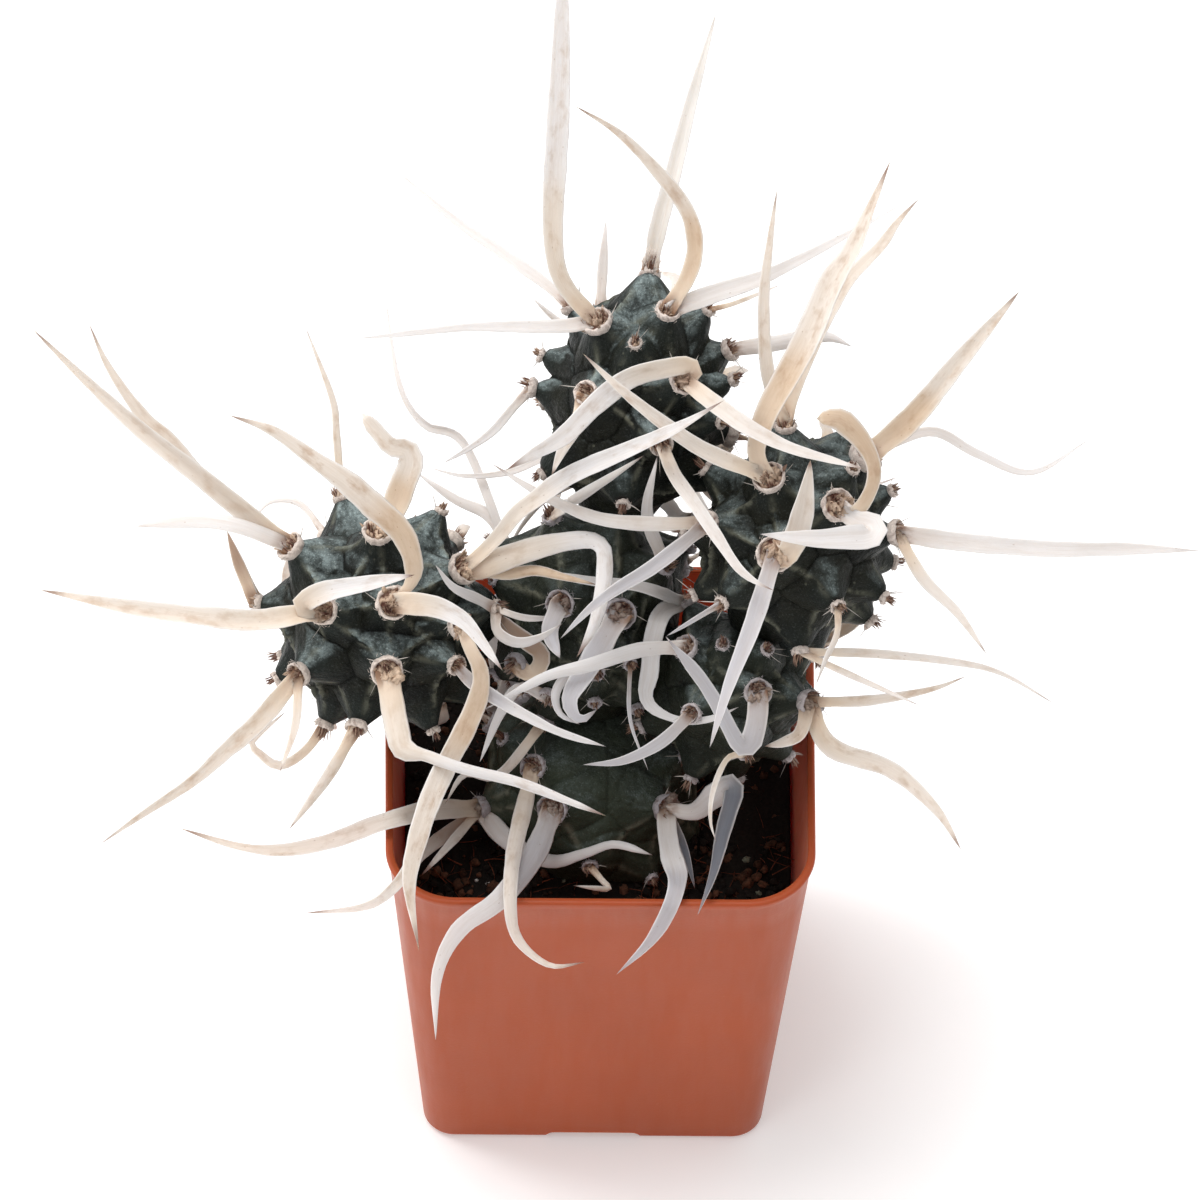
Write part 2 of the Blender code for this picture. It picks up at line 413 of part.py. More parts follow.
def smooth_route(points, count=STEPS):
    """Even steps along a smooth curve through the given points."""
    points = np.asarray(points, dtype=float)
    ends = np.vstack((2 * points[0] - points[1], points, 2 * points[-1] - points[-2]))
    fine = []
    for k in range(1, len(ends) - 2):
        p0, p1, p2, p3 = ends[k - 1:k + 3]
        for t in np.linspace(0.0, 1.0, 12, endpoint=False):
            fine.append(0.5 * (2 * p1 + (p2 - p0) * t + (2 * p0 - 5 * p1 + 4 * p2 - p3) * t * t
                               + (3 * p1 - p0 - 3 * p2 + p3) * t ** 3))
    fine.append(points[-1])
    fine = np.array(fine)
    length = np.concatenate(((0.0,), np.cumsum(np.linalg.norm(np.diff(fine, axis=0), axis=1))))
    wanted = np.linspace(0.0, length[-1], count)
    return np.stack([np.interp(wanted, length, fine[:, k]) for k in range(fine.shape[1])], axis=1)


def gather_areoles():
    """All areole directions of each segment, first those given, then those of the hidden side."""
    result = {}
    for name, info in SEGMENTS.items():
        ways = [areole_direction(info, *place) for place in info["areoles"]]
        for route in ROUTES:
            if route[0] != name:
                continue
            far = len(route) > 4
            way = areole_direction(info, *route[3][0], far=far)
            if all(way @ other < math.cos(0.24) for other in ways):
                ways.append(way)
        result[name] = (ways, spiral_directions(info, ways))
    return result


def nearest_areole(info, ways, across, up, far):
    wish = areole_direction(info, across, up, far=far)
    return max(ways, key=lambda way: float(way @ wish))


def drawn_spines(areoles):
    """The routes drawn one by one, with a first guess of their depth."""
    spines = []
    for route in ROUTES:
        name, width, rise, places = route[:4]
        profile = width if isinstance(width, tuple) else None
        width = max(wide for _, wide in profile) if profile else width
        far = len(route) > 4
        info = SEGMENTS[name]
        way = nearest_areole(info, areoles[name][0], *places[0], far)
        tip = np.asarray(info["middle"]) + way * (spheroid_reach(info, way[None])[0] + info["bump"])
        seen = to_view(tip)[0]
        flat = smooth_route([seen[:2]] + [np.array(p, dtype=float) for p in places[1:]])
        share = np.linspace(0.0, 1.0, STEPS)
        out = 5.0 * float(way @ NEARER) * (1.0 - np.exp(-share / 0.12))
        near = seen[2] + out + rise * share
        line = np.column_stack((flat, near))
        spines.append(dict(segment=name, width=width, profile=profile, line=line, way=way, drawn=True,
                           far=far, face=NEARER))
    return spines


def in_shadow(across, up):
    """Whether a point of the view plane is hidden by or close to a segment or the pot."""
    for info in SEGMENTS.values():
        low, high = view_span(info, np.array((across,)), np.array((up,)), 7.0)
        if not math.isnan(low[0]):
            return True
    return -20.0 < across < 18.0 and -10.0 < up < 28.0


def hidden_spines(areoles, rng):
    """Drooping spines for the hidden sides, kept behind the segments as seen from the front."""
    spines = []
    for name, info in SEGMENTS.items():
        for way in areoles[name][1]:
            tip = np.asarray(info["middle"]) + way * (
                spheroid_reach(info, way[None])[0] + info["bump"])
            for attempt in range(40):
                length = rng.uniform(*HIDDEN_LENGTH) * (1.0 - 0.018 * attempt)
                bend = np.array((rng.uniform(-1, 1), rng.uniform(-0.2, 1.0), rng.uniform(-1.3, 0.45)))
                mid = tip + unit(way + 0.25 * bend) * length * 0.45
                end = mid + unit(0.7 * way + 0.75 * bend) * length * 0.55
                route = smooth_route((tip, tip + way * length * 0.12, mid, end))
                line = to_view(route)
                if not pot_clash(route[2:]).any() and all(in_shadow(*p[:2]) for p in line[::3]):
                    break
            else:
                continue
            width = rng.uniform(*HIDDEN_WIDTH)
            turn = rng.uniform(-0.7, 0.7)
            face = np.array((math.sin(turn), 0.75 * math.cos(turn), 0.65))
            spines.append(dict(segment=name, width=width, profile=None, line=line, way=way,
                               drawn=False, far=True, face=unit(face)))
    return spines


def spine_widths(spine, share):
    """Width along the spine: narrower at the root, widest near a third, then a long taper."""
    grow = 0.62 + 0.38 * ease(share / 0.25)
    taper = np.clip(1.0 - share ** 1.8, 0.0, 1.0) ** 0.85
    width = spine["width"] * grow * taper
    if spine["profile"]:
        width = np.interp(share, *zip(*spine["profile"]))
    line = from_view(spine["line"])
    bend = np.linalg.norm(np.gradient(np.gradient(line, axis=0), axis=0), axis=1)
    pace = np.linalg.norm(np.gradient(line, axis=0), axis=1)
    curl = np.interp(share, np.linspace(0, 1, STEPS), pace * pace / np.maximum(bend, 1e-6))
    return np.minimum(width, np.maximum(1.7 * curl, 1.2))


def pot_half(z):
    return FOOT_HALF + (RIM_HALF - FOOT_HALF) * z / POT_HEIGHT


def pot_clash(points):
    """Whether each point is in or within 2 mm of the pot wall, its rim or the soil."""
    x, y, z = abs(points[:, 0]), abs(points[:, 1]), points[:, 2]
    outer = pot_half(np.minimum(z, POT_HEIGHT)) + 2.6
    inner = outer - WALL - 4.8
    widest = np.maximum(x, y)
    within = (widest < outer) & (x + y < 2 * outer - 6.0) & (z < POT_HEIGHT + 2.6)
    cavity = (widest < inner) & (x + y < 2 * inner - 7.0)
    return within & (~cavity | (z < SOIL_TOP + 1.8))


def lift_over_pot(line, start, tries):
    """Brings each point nearer until it is clear of the pot and the soil."""
    for _ in range(tries):
        clash = pot_clash(from_view(line))
        clash[:start] = False
        if not clash.any():
            break
        line[clash, 2] += 0.6


def keep_off_bodies(spine, root):
    """Keeps a route before the segments, or behind them if it runs on the far side."""
    line = spine["line"]
    for name, info in SEGMENTS.items():
        own = name == spine["segment"]
        pad = info["bump"] * (0.7 if own else 1.0) + 1.3
        if not spine["drawn"]:
            place = local(info, from_view(line), pad)
            size = np.linalg.norm(place, axis=1)
            inside = size < 1.0
            inside[:root] = False
            out = from_view(line) - np.asarray(info["middle"])
            push = (1.0 / np.maximum(size, 0.3) - 1.0)[:, None] * out
            line[inside] = to_view(from_view(line)[inside] + push[inside])
            continue
        low, high = view_span(info, line[:, 0], line[:, 1], pad)
        for k in range(root, STEPS):
            if math.isnan(low[k]):
                continue
            if spine["far"]:
                line[k, 2] = min(line[k, 2], low[k])
            else:
                line[k, 2] = max(line[k, 2], high[k])


def part_pairs(spines, widths, ready):
    """Moves routes apart along the sight line where two would touch."""
    for i, one in enumerate(spines):
        for j in range(i + 1, len(spines)):
            two = spines[j]
            a, b = one["line"], two["line"]
            if (a[:, :2].min(0) - 5 > b[:, :2].max(0)).any():
                continue
            if (b[:, :2].min(0) - 5 > a[:, :2].max(0)).any():
                continue
            flat = np.linalg.norm(a[:, None, :2] - b[None, :, :2], axis=2)
            reach = 0.5 * (widths[i][:, None] + widths[j][None]) + 1.4
            depth = a[:, None, 2] - b[None, :, 2]
            need = 2.7 * ease(1.6 * (1.0 - flat / reach) + 0.35)
            if one["segment"] == two["segment"]:
                need = need * 0.8
                if one["way"] @ two["way"] > 0.995:
                    need[:9, :9] = 0.0
            short = np.where(flat < reach, need - np.abs(depth), 0.0)
            if short.max() <= 0.0:
                continue
            overlap = flat < reach
            sign = 1.0 if depth[overlap].mean() >= 0 else -1.0
            short = np.where(overlap, need - sign * depth, 0.0)
            share_a = ready[:, None] / (ready[:, None] + ready[None] + 1e-6)
            move_a = (short * share_a).max(1)
            move_b = (short * (1.0 - share_a)).max(0)
            a[:, 2] += 0.6 * sign * np.maximum(move_a, 0.0) * (ready > 0)
            b[:, 2] -= 0.6 * sign * np.maximum(move_b, 0.0) * (ready > 0)


def evened(line):
    """The depths of a route with each point drawn toward its neighbours."""
    smooth = line[:, 2].copy()
    smooth[1:-1] = 0.25 * line[:-2, 2] + 0.5 * line[1:-1, 2] + 0.25 * line[2:, 2]
    smooth[-1] = 0.5 * line[-1, 2] + 0.5 * (2 * line[-2, 2] - line[-3, 2])
    smooth[0] = line[0, 2]
    return smooth


def settle(spines, rounds=60):
    """Bends the spines clear of each other, of the segments and of the pot."""
    share = np.linspace(0.0, 1.0, STEPS)
    widths = [spine_widths(spine, share) for spine in spines]
    ready = ease((share - 0.02) / 0.16)
    for _ in range(rounds):
        for spine in spines:
            spine["line"][:, 2] = evened(spine["line"])
            keep_off_bodies(spine, 4)
            if spine["drawn"]:
                lift_over_pot(spine["line"], 2, 8)
        part_pairs(spines, widths, ready)
    for spine in spines:
        line = spine["line"]
        if spine["drawn"] and not spine["far"]:
            for _ in range(4):
                lift_over_pot(line, 2, 60)
                line[:, 2] = np.maximum(line[:, 2], evened(line))


def ribbon_frames(spine, line):
    """Tangent, side and face directions at each point of a route."""
    tangent = np.gradient(line, axis=0)
    tangent /= np.linalg.norm(tangent, axis=1)[:, None]
    side = np.cross(tangent, spine["face"])
    size = np.linalg.norm(side, axis=1)
    for k in range(len(side)):
        if size[k] < 0.35:
            side[k] = side[k - 1] if k else np.cross(tangent[k], RIGHT)
    for k in range(1, len(side)):
        if side[k] @ side[k - 1] < 0 and size[k] < 0.5:
            side[k] = -side[k]
    side -= np.einsum("ij,ij->i", side, tangent)[:, None] * tangent
    side /= np.linalg.norm(side, axis=1)[:, None]
    return tangent, side, np.cross(side, tangent)


def ribbon_loops(spine, grow=0.0):
    """The corner loops of one papery blade from its sunk root outward, and its tip."""
    line = from_view(spine["line"])
    length = float(np.linalg.norm(np.diff(line, axis=0), axis=1).sum())
    rings = int(min(11, max(4, round(length / 7.5))))
    share = np.linspace(0.0, 0.94, rings)
    samples = np.stack([np.interp(share, np.linspace(0, 1, STEPS), line[:, k]) for k in range(3)], 1)
    widths = np.maximum(spine_widths(spine, share), 0.9) + grow
    thick = SPINE_THICK + grow
    tangent, side, face = ribbon_frames(spine, samples)
    outline = ((-1, -1), (1, -1), (1, 1), (-1, 1))
    if spine["width"] < 2.5:
        outline = ((-1, -0.8), (1, -0.8), (0, 1.2))
    root = line[0] - spine["way"] * 3.2
    spots = [(root, side[0], face[0], widths[0])]
    spots += list(zip(samples, side, face, widths))
    loops = [[place + across * width * 0.5 * sx + out * thick * 0.5 * sy for sx, sy in outline]
             for place, across, out, width in spots]
    return loops, line[-1]


def ribbon_faces(loops):
    """Triangles over the loops, numbered loop by loop with the tip last."""
    count = len(loops[0])
    faces = []
    for k in range(len(loops) - 1):
        for c in range(count):
            a, b = k * count + c, k * count + (c + 1) % count
            faces += [(a, b, b + count), (a, b + count, a + count)]
    last, tip = (len(loops) - 1) * count, len(loops) * count
    faces += [(last + c, last + (c + 1) % count, tip) for c in range(count)]
    faces += [(0, c + 1, c) for c in range(1, count - 1)]
    return faces


def ribbon_tree(spine):
    """The outer half of a slightly swollen blade, to test what it touches."""
    loops, tip = ribbon_loops(spine, 0.5)
    points = [Vector(c) for loop in loops for c in loop] + [Vector(tip)]
    return BVHTree.FromPolygons(points, ribbon_faces(loops))


def hides_front(spine):
    """Whether a spine of the hidden side would show before a segment."""
    line = spine["line"]
    for info in SEGMENTS.values():
        low, high = view_span(info, line[:, 0], line[:, 1], info["bump"] * 0.5)
        middle = 0.5 * (low + high)
        if np.nansum(line[6:, 2] > middle[6:]) > 0:
            return True
    return False


def without_clashes(spines, bodies):
    """Leaves out each spine of the hidden sides that cannot be bent clear."""
    trees = [ribbon_tree(spine) for spine in spines]
    kept = []
    for k, spine in enumerate(spines):
        if not spine["drawn"]:
            line = from_view(spine["line"])
            if pot_clash(line[2:]).any() or hides_front(spine):
                continue
            if any(name != spine["segment"] and trees[k].overlap(tree)
                   for name, tree in bodies.items()):
                continue
            if any(spines[m]["segment"] != spine["segment"] and trees[k].overlap(trees[m])
                   for m in range(len(spines)) if m in kept or spines[m]["drawn"]):
                continue
        kept.append(k)
    return [spines[k] for k in kept]


def ribbon_object(spine, index):
    """One closed papery blade: a flat bar that narrows to a point, its root sunk in the areole."""
    loops, tip = ribbon_loops(spine)
    bm = bmesh.new()
    points = [bm.verts.new(Vector(c * MM)) for loop in loops for c in loop]
    points.append(bm.verts.new(Vector(tip * MM)))
    for face in ribbon_faces(loops):
        bm.faces.new([points[k] for k in face])
    return mesh_object("spine_%03d" % index, bm)


def apply_modifiers(item):
    """Keeps the evaluated mesh and drops the modifiers."""
    graph = bpy.context.evaluated_depsgraph_get()
    mesh = bpy.data.meshes.new_from_object(item.evaluated_get(graph))
    item.modifiers.clear()
    item.data = mesh


def boolean(item, operation, other=None, collection=None, solver="EXACT"):
    step = item.modifiers.new(operation, "BOOLEAN")
    step.operation = operation
    step.solver = solver
    if collection is not None:
        step.operand_type = "COLLECTION"
        step.collection = collection
    else:
        step.object = other
    apply_modifiers(item)


def fuse(item, pieces):
    """One union of the body with all its spines, whose own objects are then removed."""
    group = bpy.data.collections.new(item.name + "_spines")
    bpy.context.scene.collection.children.link(group)
    for piece in pieces:
        bpy.context.collection.objects.unlink(piece)
        group.objects.link(piece)
    boolean(item, "UNION", collection=group, solver="MANIFOLD")
    for piece in pieces:
        bpy.data.objects.remove(piece, do_unlink=True)
    bpy.data.collections.remove(group)


def material(name, colour, roughness, metallic=0.0):
    result = bpy.data.materials.new(name)
    result.use_nodes = True
    shader = result.node_tree.nodes["Principled BSDF"]
    shader.inputs["Base Color"].default_value = (*colour, 1.0)
    shader.inputs["Roughness"].default_value = roughness
    shader.inputs["Metallic"].default_value = metallic
    return result


def paint(item, look):
    item.data.materials.clear()
    item.data.materials.append(look)


def rounded_square(half, corner, z, steps=5):
    """The points of a square with round corners, anticlockwise."""
    points = []
    for quarter in range(4):
        start = quarter * math.pi / 2
        cx = (half - corner) * (1 if quarter in (0, 3) else -1)
        cy = (half - corner) * (1 if quarter in (0, 1) else -1)
        for k in range(steps + 1):
            turn = start + (math.pi / 2) * k / steps
            points.append(Vector((cx + corner * math.cos(turn), cy + corner * math.sin(turn), z)))
    return points


def corner_at(z):
    return FOOT_CORNER + (RIM_CORNER - FOOT_CORNER) * z / POT_HEIGHT


def loft(name, sections):
    """A closed solid through a list of equal loops, capped at both ends."""
    bm = bmesh.new()
    loops = [[bm.verts.new(p * MM) for p in section] for section in sections]
    for low, high in zip(loops, loops[1:]):
        for k in range(len(low)):
            n = (k + 1) % len(low)
            bm.faces.new((low[k], low[n], high[n], high[k]))
    bm.faces.new(loops[0][::-1])
    bm.faces.new(loops[-1])
    return mesh_object(name, bm)


def pot_sections():
    """Up the outside from the foot to the lip, then down the inside to the floor."""
    sections = []
    for k in range(3):
        turn = math.pi / 2 * k / 2
        inset = FOOT_FILLET * (1.0 - math.sin(turn))
        z = FOOT_FILLET * (1.0 - math.cos(turn))
        sections.append(rounded_square(pot_half(z) - inset, corner_at(z) - inset, z))
    lip = POT_HEIGHT - LIP_HEIGHT
    sections.append(rounded_square(pot_half(lip), corner_at(lip), lip))
    sections.append(rounded_square(pot_half(lip) + LIP_OUT, corner_at(lip) + LIP_OUT, lip + 0.5))
    top = POT_HEIGHT
    sections.append(rounded_square(RIM_HALF + LIP_OUT - 0.3, RIM_CORNER, top - 0.3))
    sections.append(rounded_square(RIM_HALF + LIP_OUT - 0.7, RIM_CORNER - 0.4, top))
    sections.append(rounded_square(RIM_HALF - WALL, RIM_CORNER - WALL, top - 0.2))
    for z in (40.0, FLOOR_TOP):
        sections.append(rounded_square(pot_half(z) - WALL, corner_at(z) - WALL, z))
    return sections


def notch_cutter(index):
    """A round-topped channel from the middle of one side of the foot inward."""
    half = NOTCH_WIDTH / 2
    profile = [(-half - 0.4, -1.0), (half + 0.4, -1.0), (half, 0.4), (half - 0.5, 1.4),
               (half - 1.6, NOTCH_HEIGHT), (-half + 1.6, NOTCH_HEIGHT), (-half + 0.5, 1.4), (-half, 0.4)]
    turn = index * math.pi / 2
    sections = []
    for away in (FOOT_HALF + 3.0, FOOT_HALF - NOTCH_DEPTH):
        loop = []
        for across, z in profile:
            x = away * math.cos(turn) - across * math.sin(turn)
            y = away * math.sin(turn) + across * math.cos(turn)
            loop.append(Vector((x, y, z)))
        sections.append(loop)
    return loft("notch_cutter", sections)


def drain_cutter(index):
    """A drain hole at the inner end of one channel."""
    turn = index * math.pi / 2
    away = FOOT_HALF - NOTCH_DEPTH + 5.0
    sections = []
    for z in (-1.0, FLOOR_TOP + 2.0):
        sections.append([Vector((away * math.cos(turn) + DRAIN_RADIUS * math.cos(a),
                                 away * math.sin(turn) + DRAIN_RADIUS * math.sin(a), z))
                         for a in np.linspace(0, 2 * math.pi, 12, endpoint=False)])
    return loft("drain_cutter", sections)


def build_pot():
    pot = loft("pot", pot_sections())
    for index in range(4):
        for cutter in (notch_cutter(index), drain_cutter(index)):
            boolean(pot, "DIFFERENCE", other=cutter)
            bpy.data.objects.remove(cutter, do_unlink=True)
    paint(pot, material("terracotta_plastic", (0.39, 0.103, 0.055), 0.42))
    return pot


def soil_height(x, y):
    """Gentle mounds of the peat surface."""
    waves = 0.9 * math.sin(0.11 * x + 0.7) * math.cos(0.13 * y - 0.4) + 0.5 * math.sin(0.31 * x - 0.23 * y)
    return SOIL_TOP + waves


def build_soil():
    """The peat fill with a heaped surface, and three small stones sunk in it."""
    inset = WALL + GAP
    bottom = FLOOR_TOP + GAP
    sections = [rounded_square(pot_half(z) - inset, corner_at(z) - inset, z)
                for z in (bottom, 40.0, SOIL_TOP - 1.5)]
    side = pot_half(SOIL_TOP) - inset
    corner = corner_at(SOIL_TOP) - inset
    for scale in (0.97, 0.82, 0.66, 0.5, 0.3, 0.1):
        ring = rounded_square(side * scale, corner * scale, 0.0)
        sections.append([Vector((p.x, p.y, soil_height(p.x, p.y))) for p in ring])
    soil = loft("soil", sections)
    stones = []
    for x, y, size in ((-34.0, -33.0, 3.4), (34.0, -30.5, 2.6), (26.0, -34.0, 2.2)):
        bm = bmesh.new()
        bmesh.ops.create_icosphere(bm, subdivisions=2, radius=size * MM)
        for vert in bm.verts:
            vert.co.z *= 0.75
            vert.co += Vector((x, y, SOIL_TOP + 0.45 * size)) * MM
        stones.append(mesh_object("stone", bm))
    fuse(soil, stones)
    paint(soil, material("peat", (0.012, 0.008, 0.006), 0.95))
    return soil


def cut_by(item, tool):
    boolean(item, "DIFFERENCE", other=tool, solver="MANIFOLD")
    bpy.data.objects.remove(tool, do_unlink=True)


def body_tree(item):
    """The skin of a segment in millimetres, to test what touches it."""
    points = [v.co / MM for v in item.data.vertices]
    return BVHTree.FromPolygons(points, [tuple(p.vertices) for p in item.data.polygons])


def build_segments(soil):
    """Bodies cut at the joints, then fused with their spines."""
    areoles = gather_areoles()
    skin = material("skin", (0.055, 0.078, 0.07), 0.6)
    order = list(SEGMENTS)
    bodies, trees = {}, {}
    for name in order:
        info = SEGMENTS[name]
        ways = areoles[name][0] + areoles[name][1]
        bodies[name] = body_object(name, info, ways)
        for other in order[:order.index(name)]:
            tool = body_object("cutter", SEGMENTS[other], areoles[other][0] + areoles[other][1], 0.45)
            cut_by(bodies[name], tool)
        swollen = body_object("swollen", info, ways, 0.4)
        trees[name] = body_tree(swollen)
        if name == "segment_base":
            cut_by(soil, swollen)
        else:
            bpy.data.objects.remove(swollen, do_unlink=True)
    spines = drawn_spines(areoles) + hidden_spines(areoles, random.Random(31))
    settle(spines)
    spines = without_clashes(spines, trees)
    for name, item in bodies.items():
        mine = [spine for spine in spines if spine["segment"] == name]
        fuse(item, [ribbon_object(spine, k) for k, spine in enumerate(mine)])
        paint(item, skin)


clear_scene()
build_pot()
build_segments(build_soil())
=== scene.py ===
"""Looks of the potted paper spine cactus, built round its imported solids.

The plant is laid out by the same rules and constants as its solids, in millimetres, then given finer
skins, channelled papery spines, woolly areoles, crumbly peat and a smoothly moulded pot.
"""

import math
import random

import bmesh
import bpy
import numpy as np
from mathutils import Matrix, Vector, noise


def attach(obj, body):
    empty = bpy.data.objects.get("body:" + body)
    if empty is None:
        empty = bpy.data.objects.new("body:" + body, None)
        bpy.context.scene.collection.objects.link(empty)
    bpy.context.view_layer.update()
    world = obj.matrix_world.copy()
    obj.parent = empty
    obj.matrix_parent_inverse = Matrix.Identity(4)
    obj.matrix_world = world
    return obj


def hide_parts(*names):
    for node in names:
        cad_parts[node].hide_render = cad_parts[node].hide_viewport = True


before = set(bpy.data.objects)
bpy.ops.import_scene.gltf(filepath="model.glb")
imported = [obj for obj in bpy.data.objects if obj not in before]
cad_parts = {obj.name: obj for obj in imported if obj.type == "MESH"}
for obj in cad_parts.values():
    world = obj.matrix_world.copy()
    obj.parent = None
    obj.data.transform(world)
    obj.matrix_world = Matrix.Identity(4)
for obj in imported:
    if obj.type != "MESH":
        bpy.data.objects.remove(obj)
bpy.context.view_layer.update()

MM = 0.001

# Pot: a tapering square with round corners.
POT_HEIGHT = 88.8
RIM_HALF = 42.5
FOOT_HALF = 33.9
RIM_CORNER = 13.6
FOOT_CORNER = 6.2
WALL = 1.1
LIP_HEIGHT = 2.4
LIP_OUT = 0.45
LIP_ROUND = 0.6
INNER_ROUND = 0.25
FLOOR_TOP = 3.8
FOOT_FILLET = 1.5
NOTCH_WIDTH = 19.0
NOTCH_HEIGHT = 2.1
NOTCH_DEPTH = 20.0
NOTCH_ROUND = 1.8
DRAIN_RADIUS = 2.6
DRAIN_BEHIND = 5.0
SHARP_ANGLE = math.radians(50.0)

# Soil: fills the pot to this height, clear of the wall and of the buried stem.
SOIL_TOP = 66.0
GAP = 0.3

# The plant is described in the plane of somebody who looks down on it by this angle, turned and
# tilted by the two small ones: across to the right, up in that plane, and near toward the eye.
# All three are zero at the middle of the rim.
LOOK_DOWN = math.radians(52.0)
LOOK_TURN = math.radians(1.6)
LOOK_ROLL = math.radians(1.7)
LEVEL = np.array((math.cos(LOOK_TURN), -math.sin(LOOK_TURN), 0.0))
AHEAD = np.array((math.sin(LOOK_TURN), math.cos(LOOK_TURN), 0.0))
RAISED = AHEAD * math.sin(LOOK_DOWN) + np.array((0.0, 0.0, math.cos(LOOK_DOWN)))
RIGHT = LEVEL * math.cos(LOOK_ROLL) + RAISED * math.sin(LOOK_ROLL)
UPWARD = RAISED * math.cos(LOOK_ROLL) - LEVEL * math.sin(LOOK_ROLL)
NEARER = np.cross(RIGHT, UPWARD)
RIM_MIDDLE = np.array((0.0, 0.0, POT_HEIGHT))

PREFIX = "segment_"
BASE, MIDDLE, LEFT, RIGHT_LOW, RIGHT_TOP, TOP = (
    PREFIX + part for part in ("base", "middle", "left", "right_low", "right_top", "top"))

# Segments: middle (x, y, z), radius and half length of the valleys between tubercles, the way the
# axis leans, tubercle height, the segment that carries it, and the areoles seen from the front as
# (across, up).
SEGMENTS = {
    BASE: dict(
        middle=(-1.8, 0.0, 71.0), radius=20.2, half=20.0, lean=(0.0, 0.1, 1.0), bump=3.8, on=None,
        areoles=((-9.5, -15.0), (13.3, -14.8), (-24.0, -15.0), (-2.0, -26.5), (10.3, -29.0), (-13.4, -6.6),
                 (16.8, -4.6), (-19.5, -1.0), (20.5, -21.0))),
    MIDDLE: dict(
        middle=(-2.0, 15.0, 110.0), radius=17.4, half=20.5, lean=(0.0, 0.3, 1.0), bump=5.4,
        on=BASE,
        areoles=((-16.8, 13.8), (7.4, 5.0), (-1.0, 6.2), (-10.5, 7.4), (-12.0, 0.6), (-9.5, 43.5),
                 (4.0, 24.0), (-8.0, 26.0), (13.0, 34.0), (4.2, 44.8), (-21.4, 31.0))),
    LEFT: dict(
        middle=(-44.0, 6.0, 118.5), radius=17.6, half=20.0, lean=(-0.55, -0.1, 0.8), bump=6.8,
        on=MIDDLE,
        areoles=((-61.8, 37.6), (-44.2, 40.6), (-52.0, 48.2), (-31.6, 44.6), (-69.2, 26.0),
                 (-55.2, 24.8), (-41.2, 26.2), (-27.2, 33.0), (-60.2, 12.0), (-42.4, 12.6),
                 (-28.6, 13.8), (-48.6, 1.4), (-33.2, 0.6), (-65.8, 10.4), (-55.4, 1.2),
                 (-20.6, 25.0))),
    RIGHT_LOW: dict(
        middle=(25.4, -1.5, 106.0), radius=13.8, half=15.5, lean=(0.2, 0.0, 1.0), bump=5.2,
        on=MIDDLE,
        areoles=((17.0, 17.4), (18.2, 4.2), (31.5, 8.4), (41.6, 6.4), (33.4, 17.0), (16.0, 28.0),
                 (29.0, -4.0), (24.5, 18.0))),
    RIGHT_TOP: dict(
        middle=(37.6, 11.0, 138.4), radius=15.9, half=19.5, lean=(0.12, 0.25, 1.0), bump=6.2,
        on=RIGHT_LOW,
        areoles=((33.6, 51.2), (47.4, 45.6), (37.0, 61.4), (59.2, 40.2), (58.4, 48.6), (56.8, 27.2),
                 (21.4, 42.2), (34.8, 36.0), (24.2, 26.2), (47.4, 25.4), (53.0, 55.4), (50.4, 53.0),
                 (40.0, 16.4))),
    TOP: dict(
        middle=(6.0, 34.6, 151.0), radius=15.0, half=23.0, lean=(0.12, 0.42, 0.9), bump=6.0,
        on=MIDDLE,
        areoles=((-0.8, 82.6), (13.6, 84.6), (10.0, 92.6), (21.8, 84.8), (26.2, 76.8), (26.8, 70.8),
                 (-13.4, 76.4), (-14.0, 69.2), (-2.8, 68.0), (16.8, 70.6), (24.2, 62.2),
                 (12.2, 57.8), (4.6, 45.6), (-13.8, 50.2), (7.0, 78.0))),
}

for segment in SEGMENTS.values():
    segment["middle"] = np.array(segment["middle"])

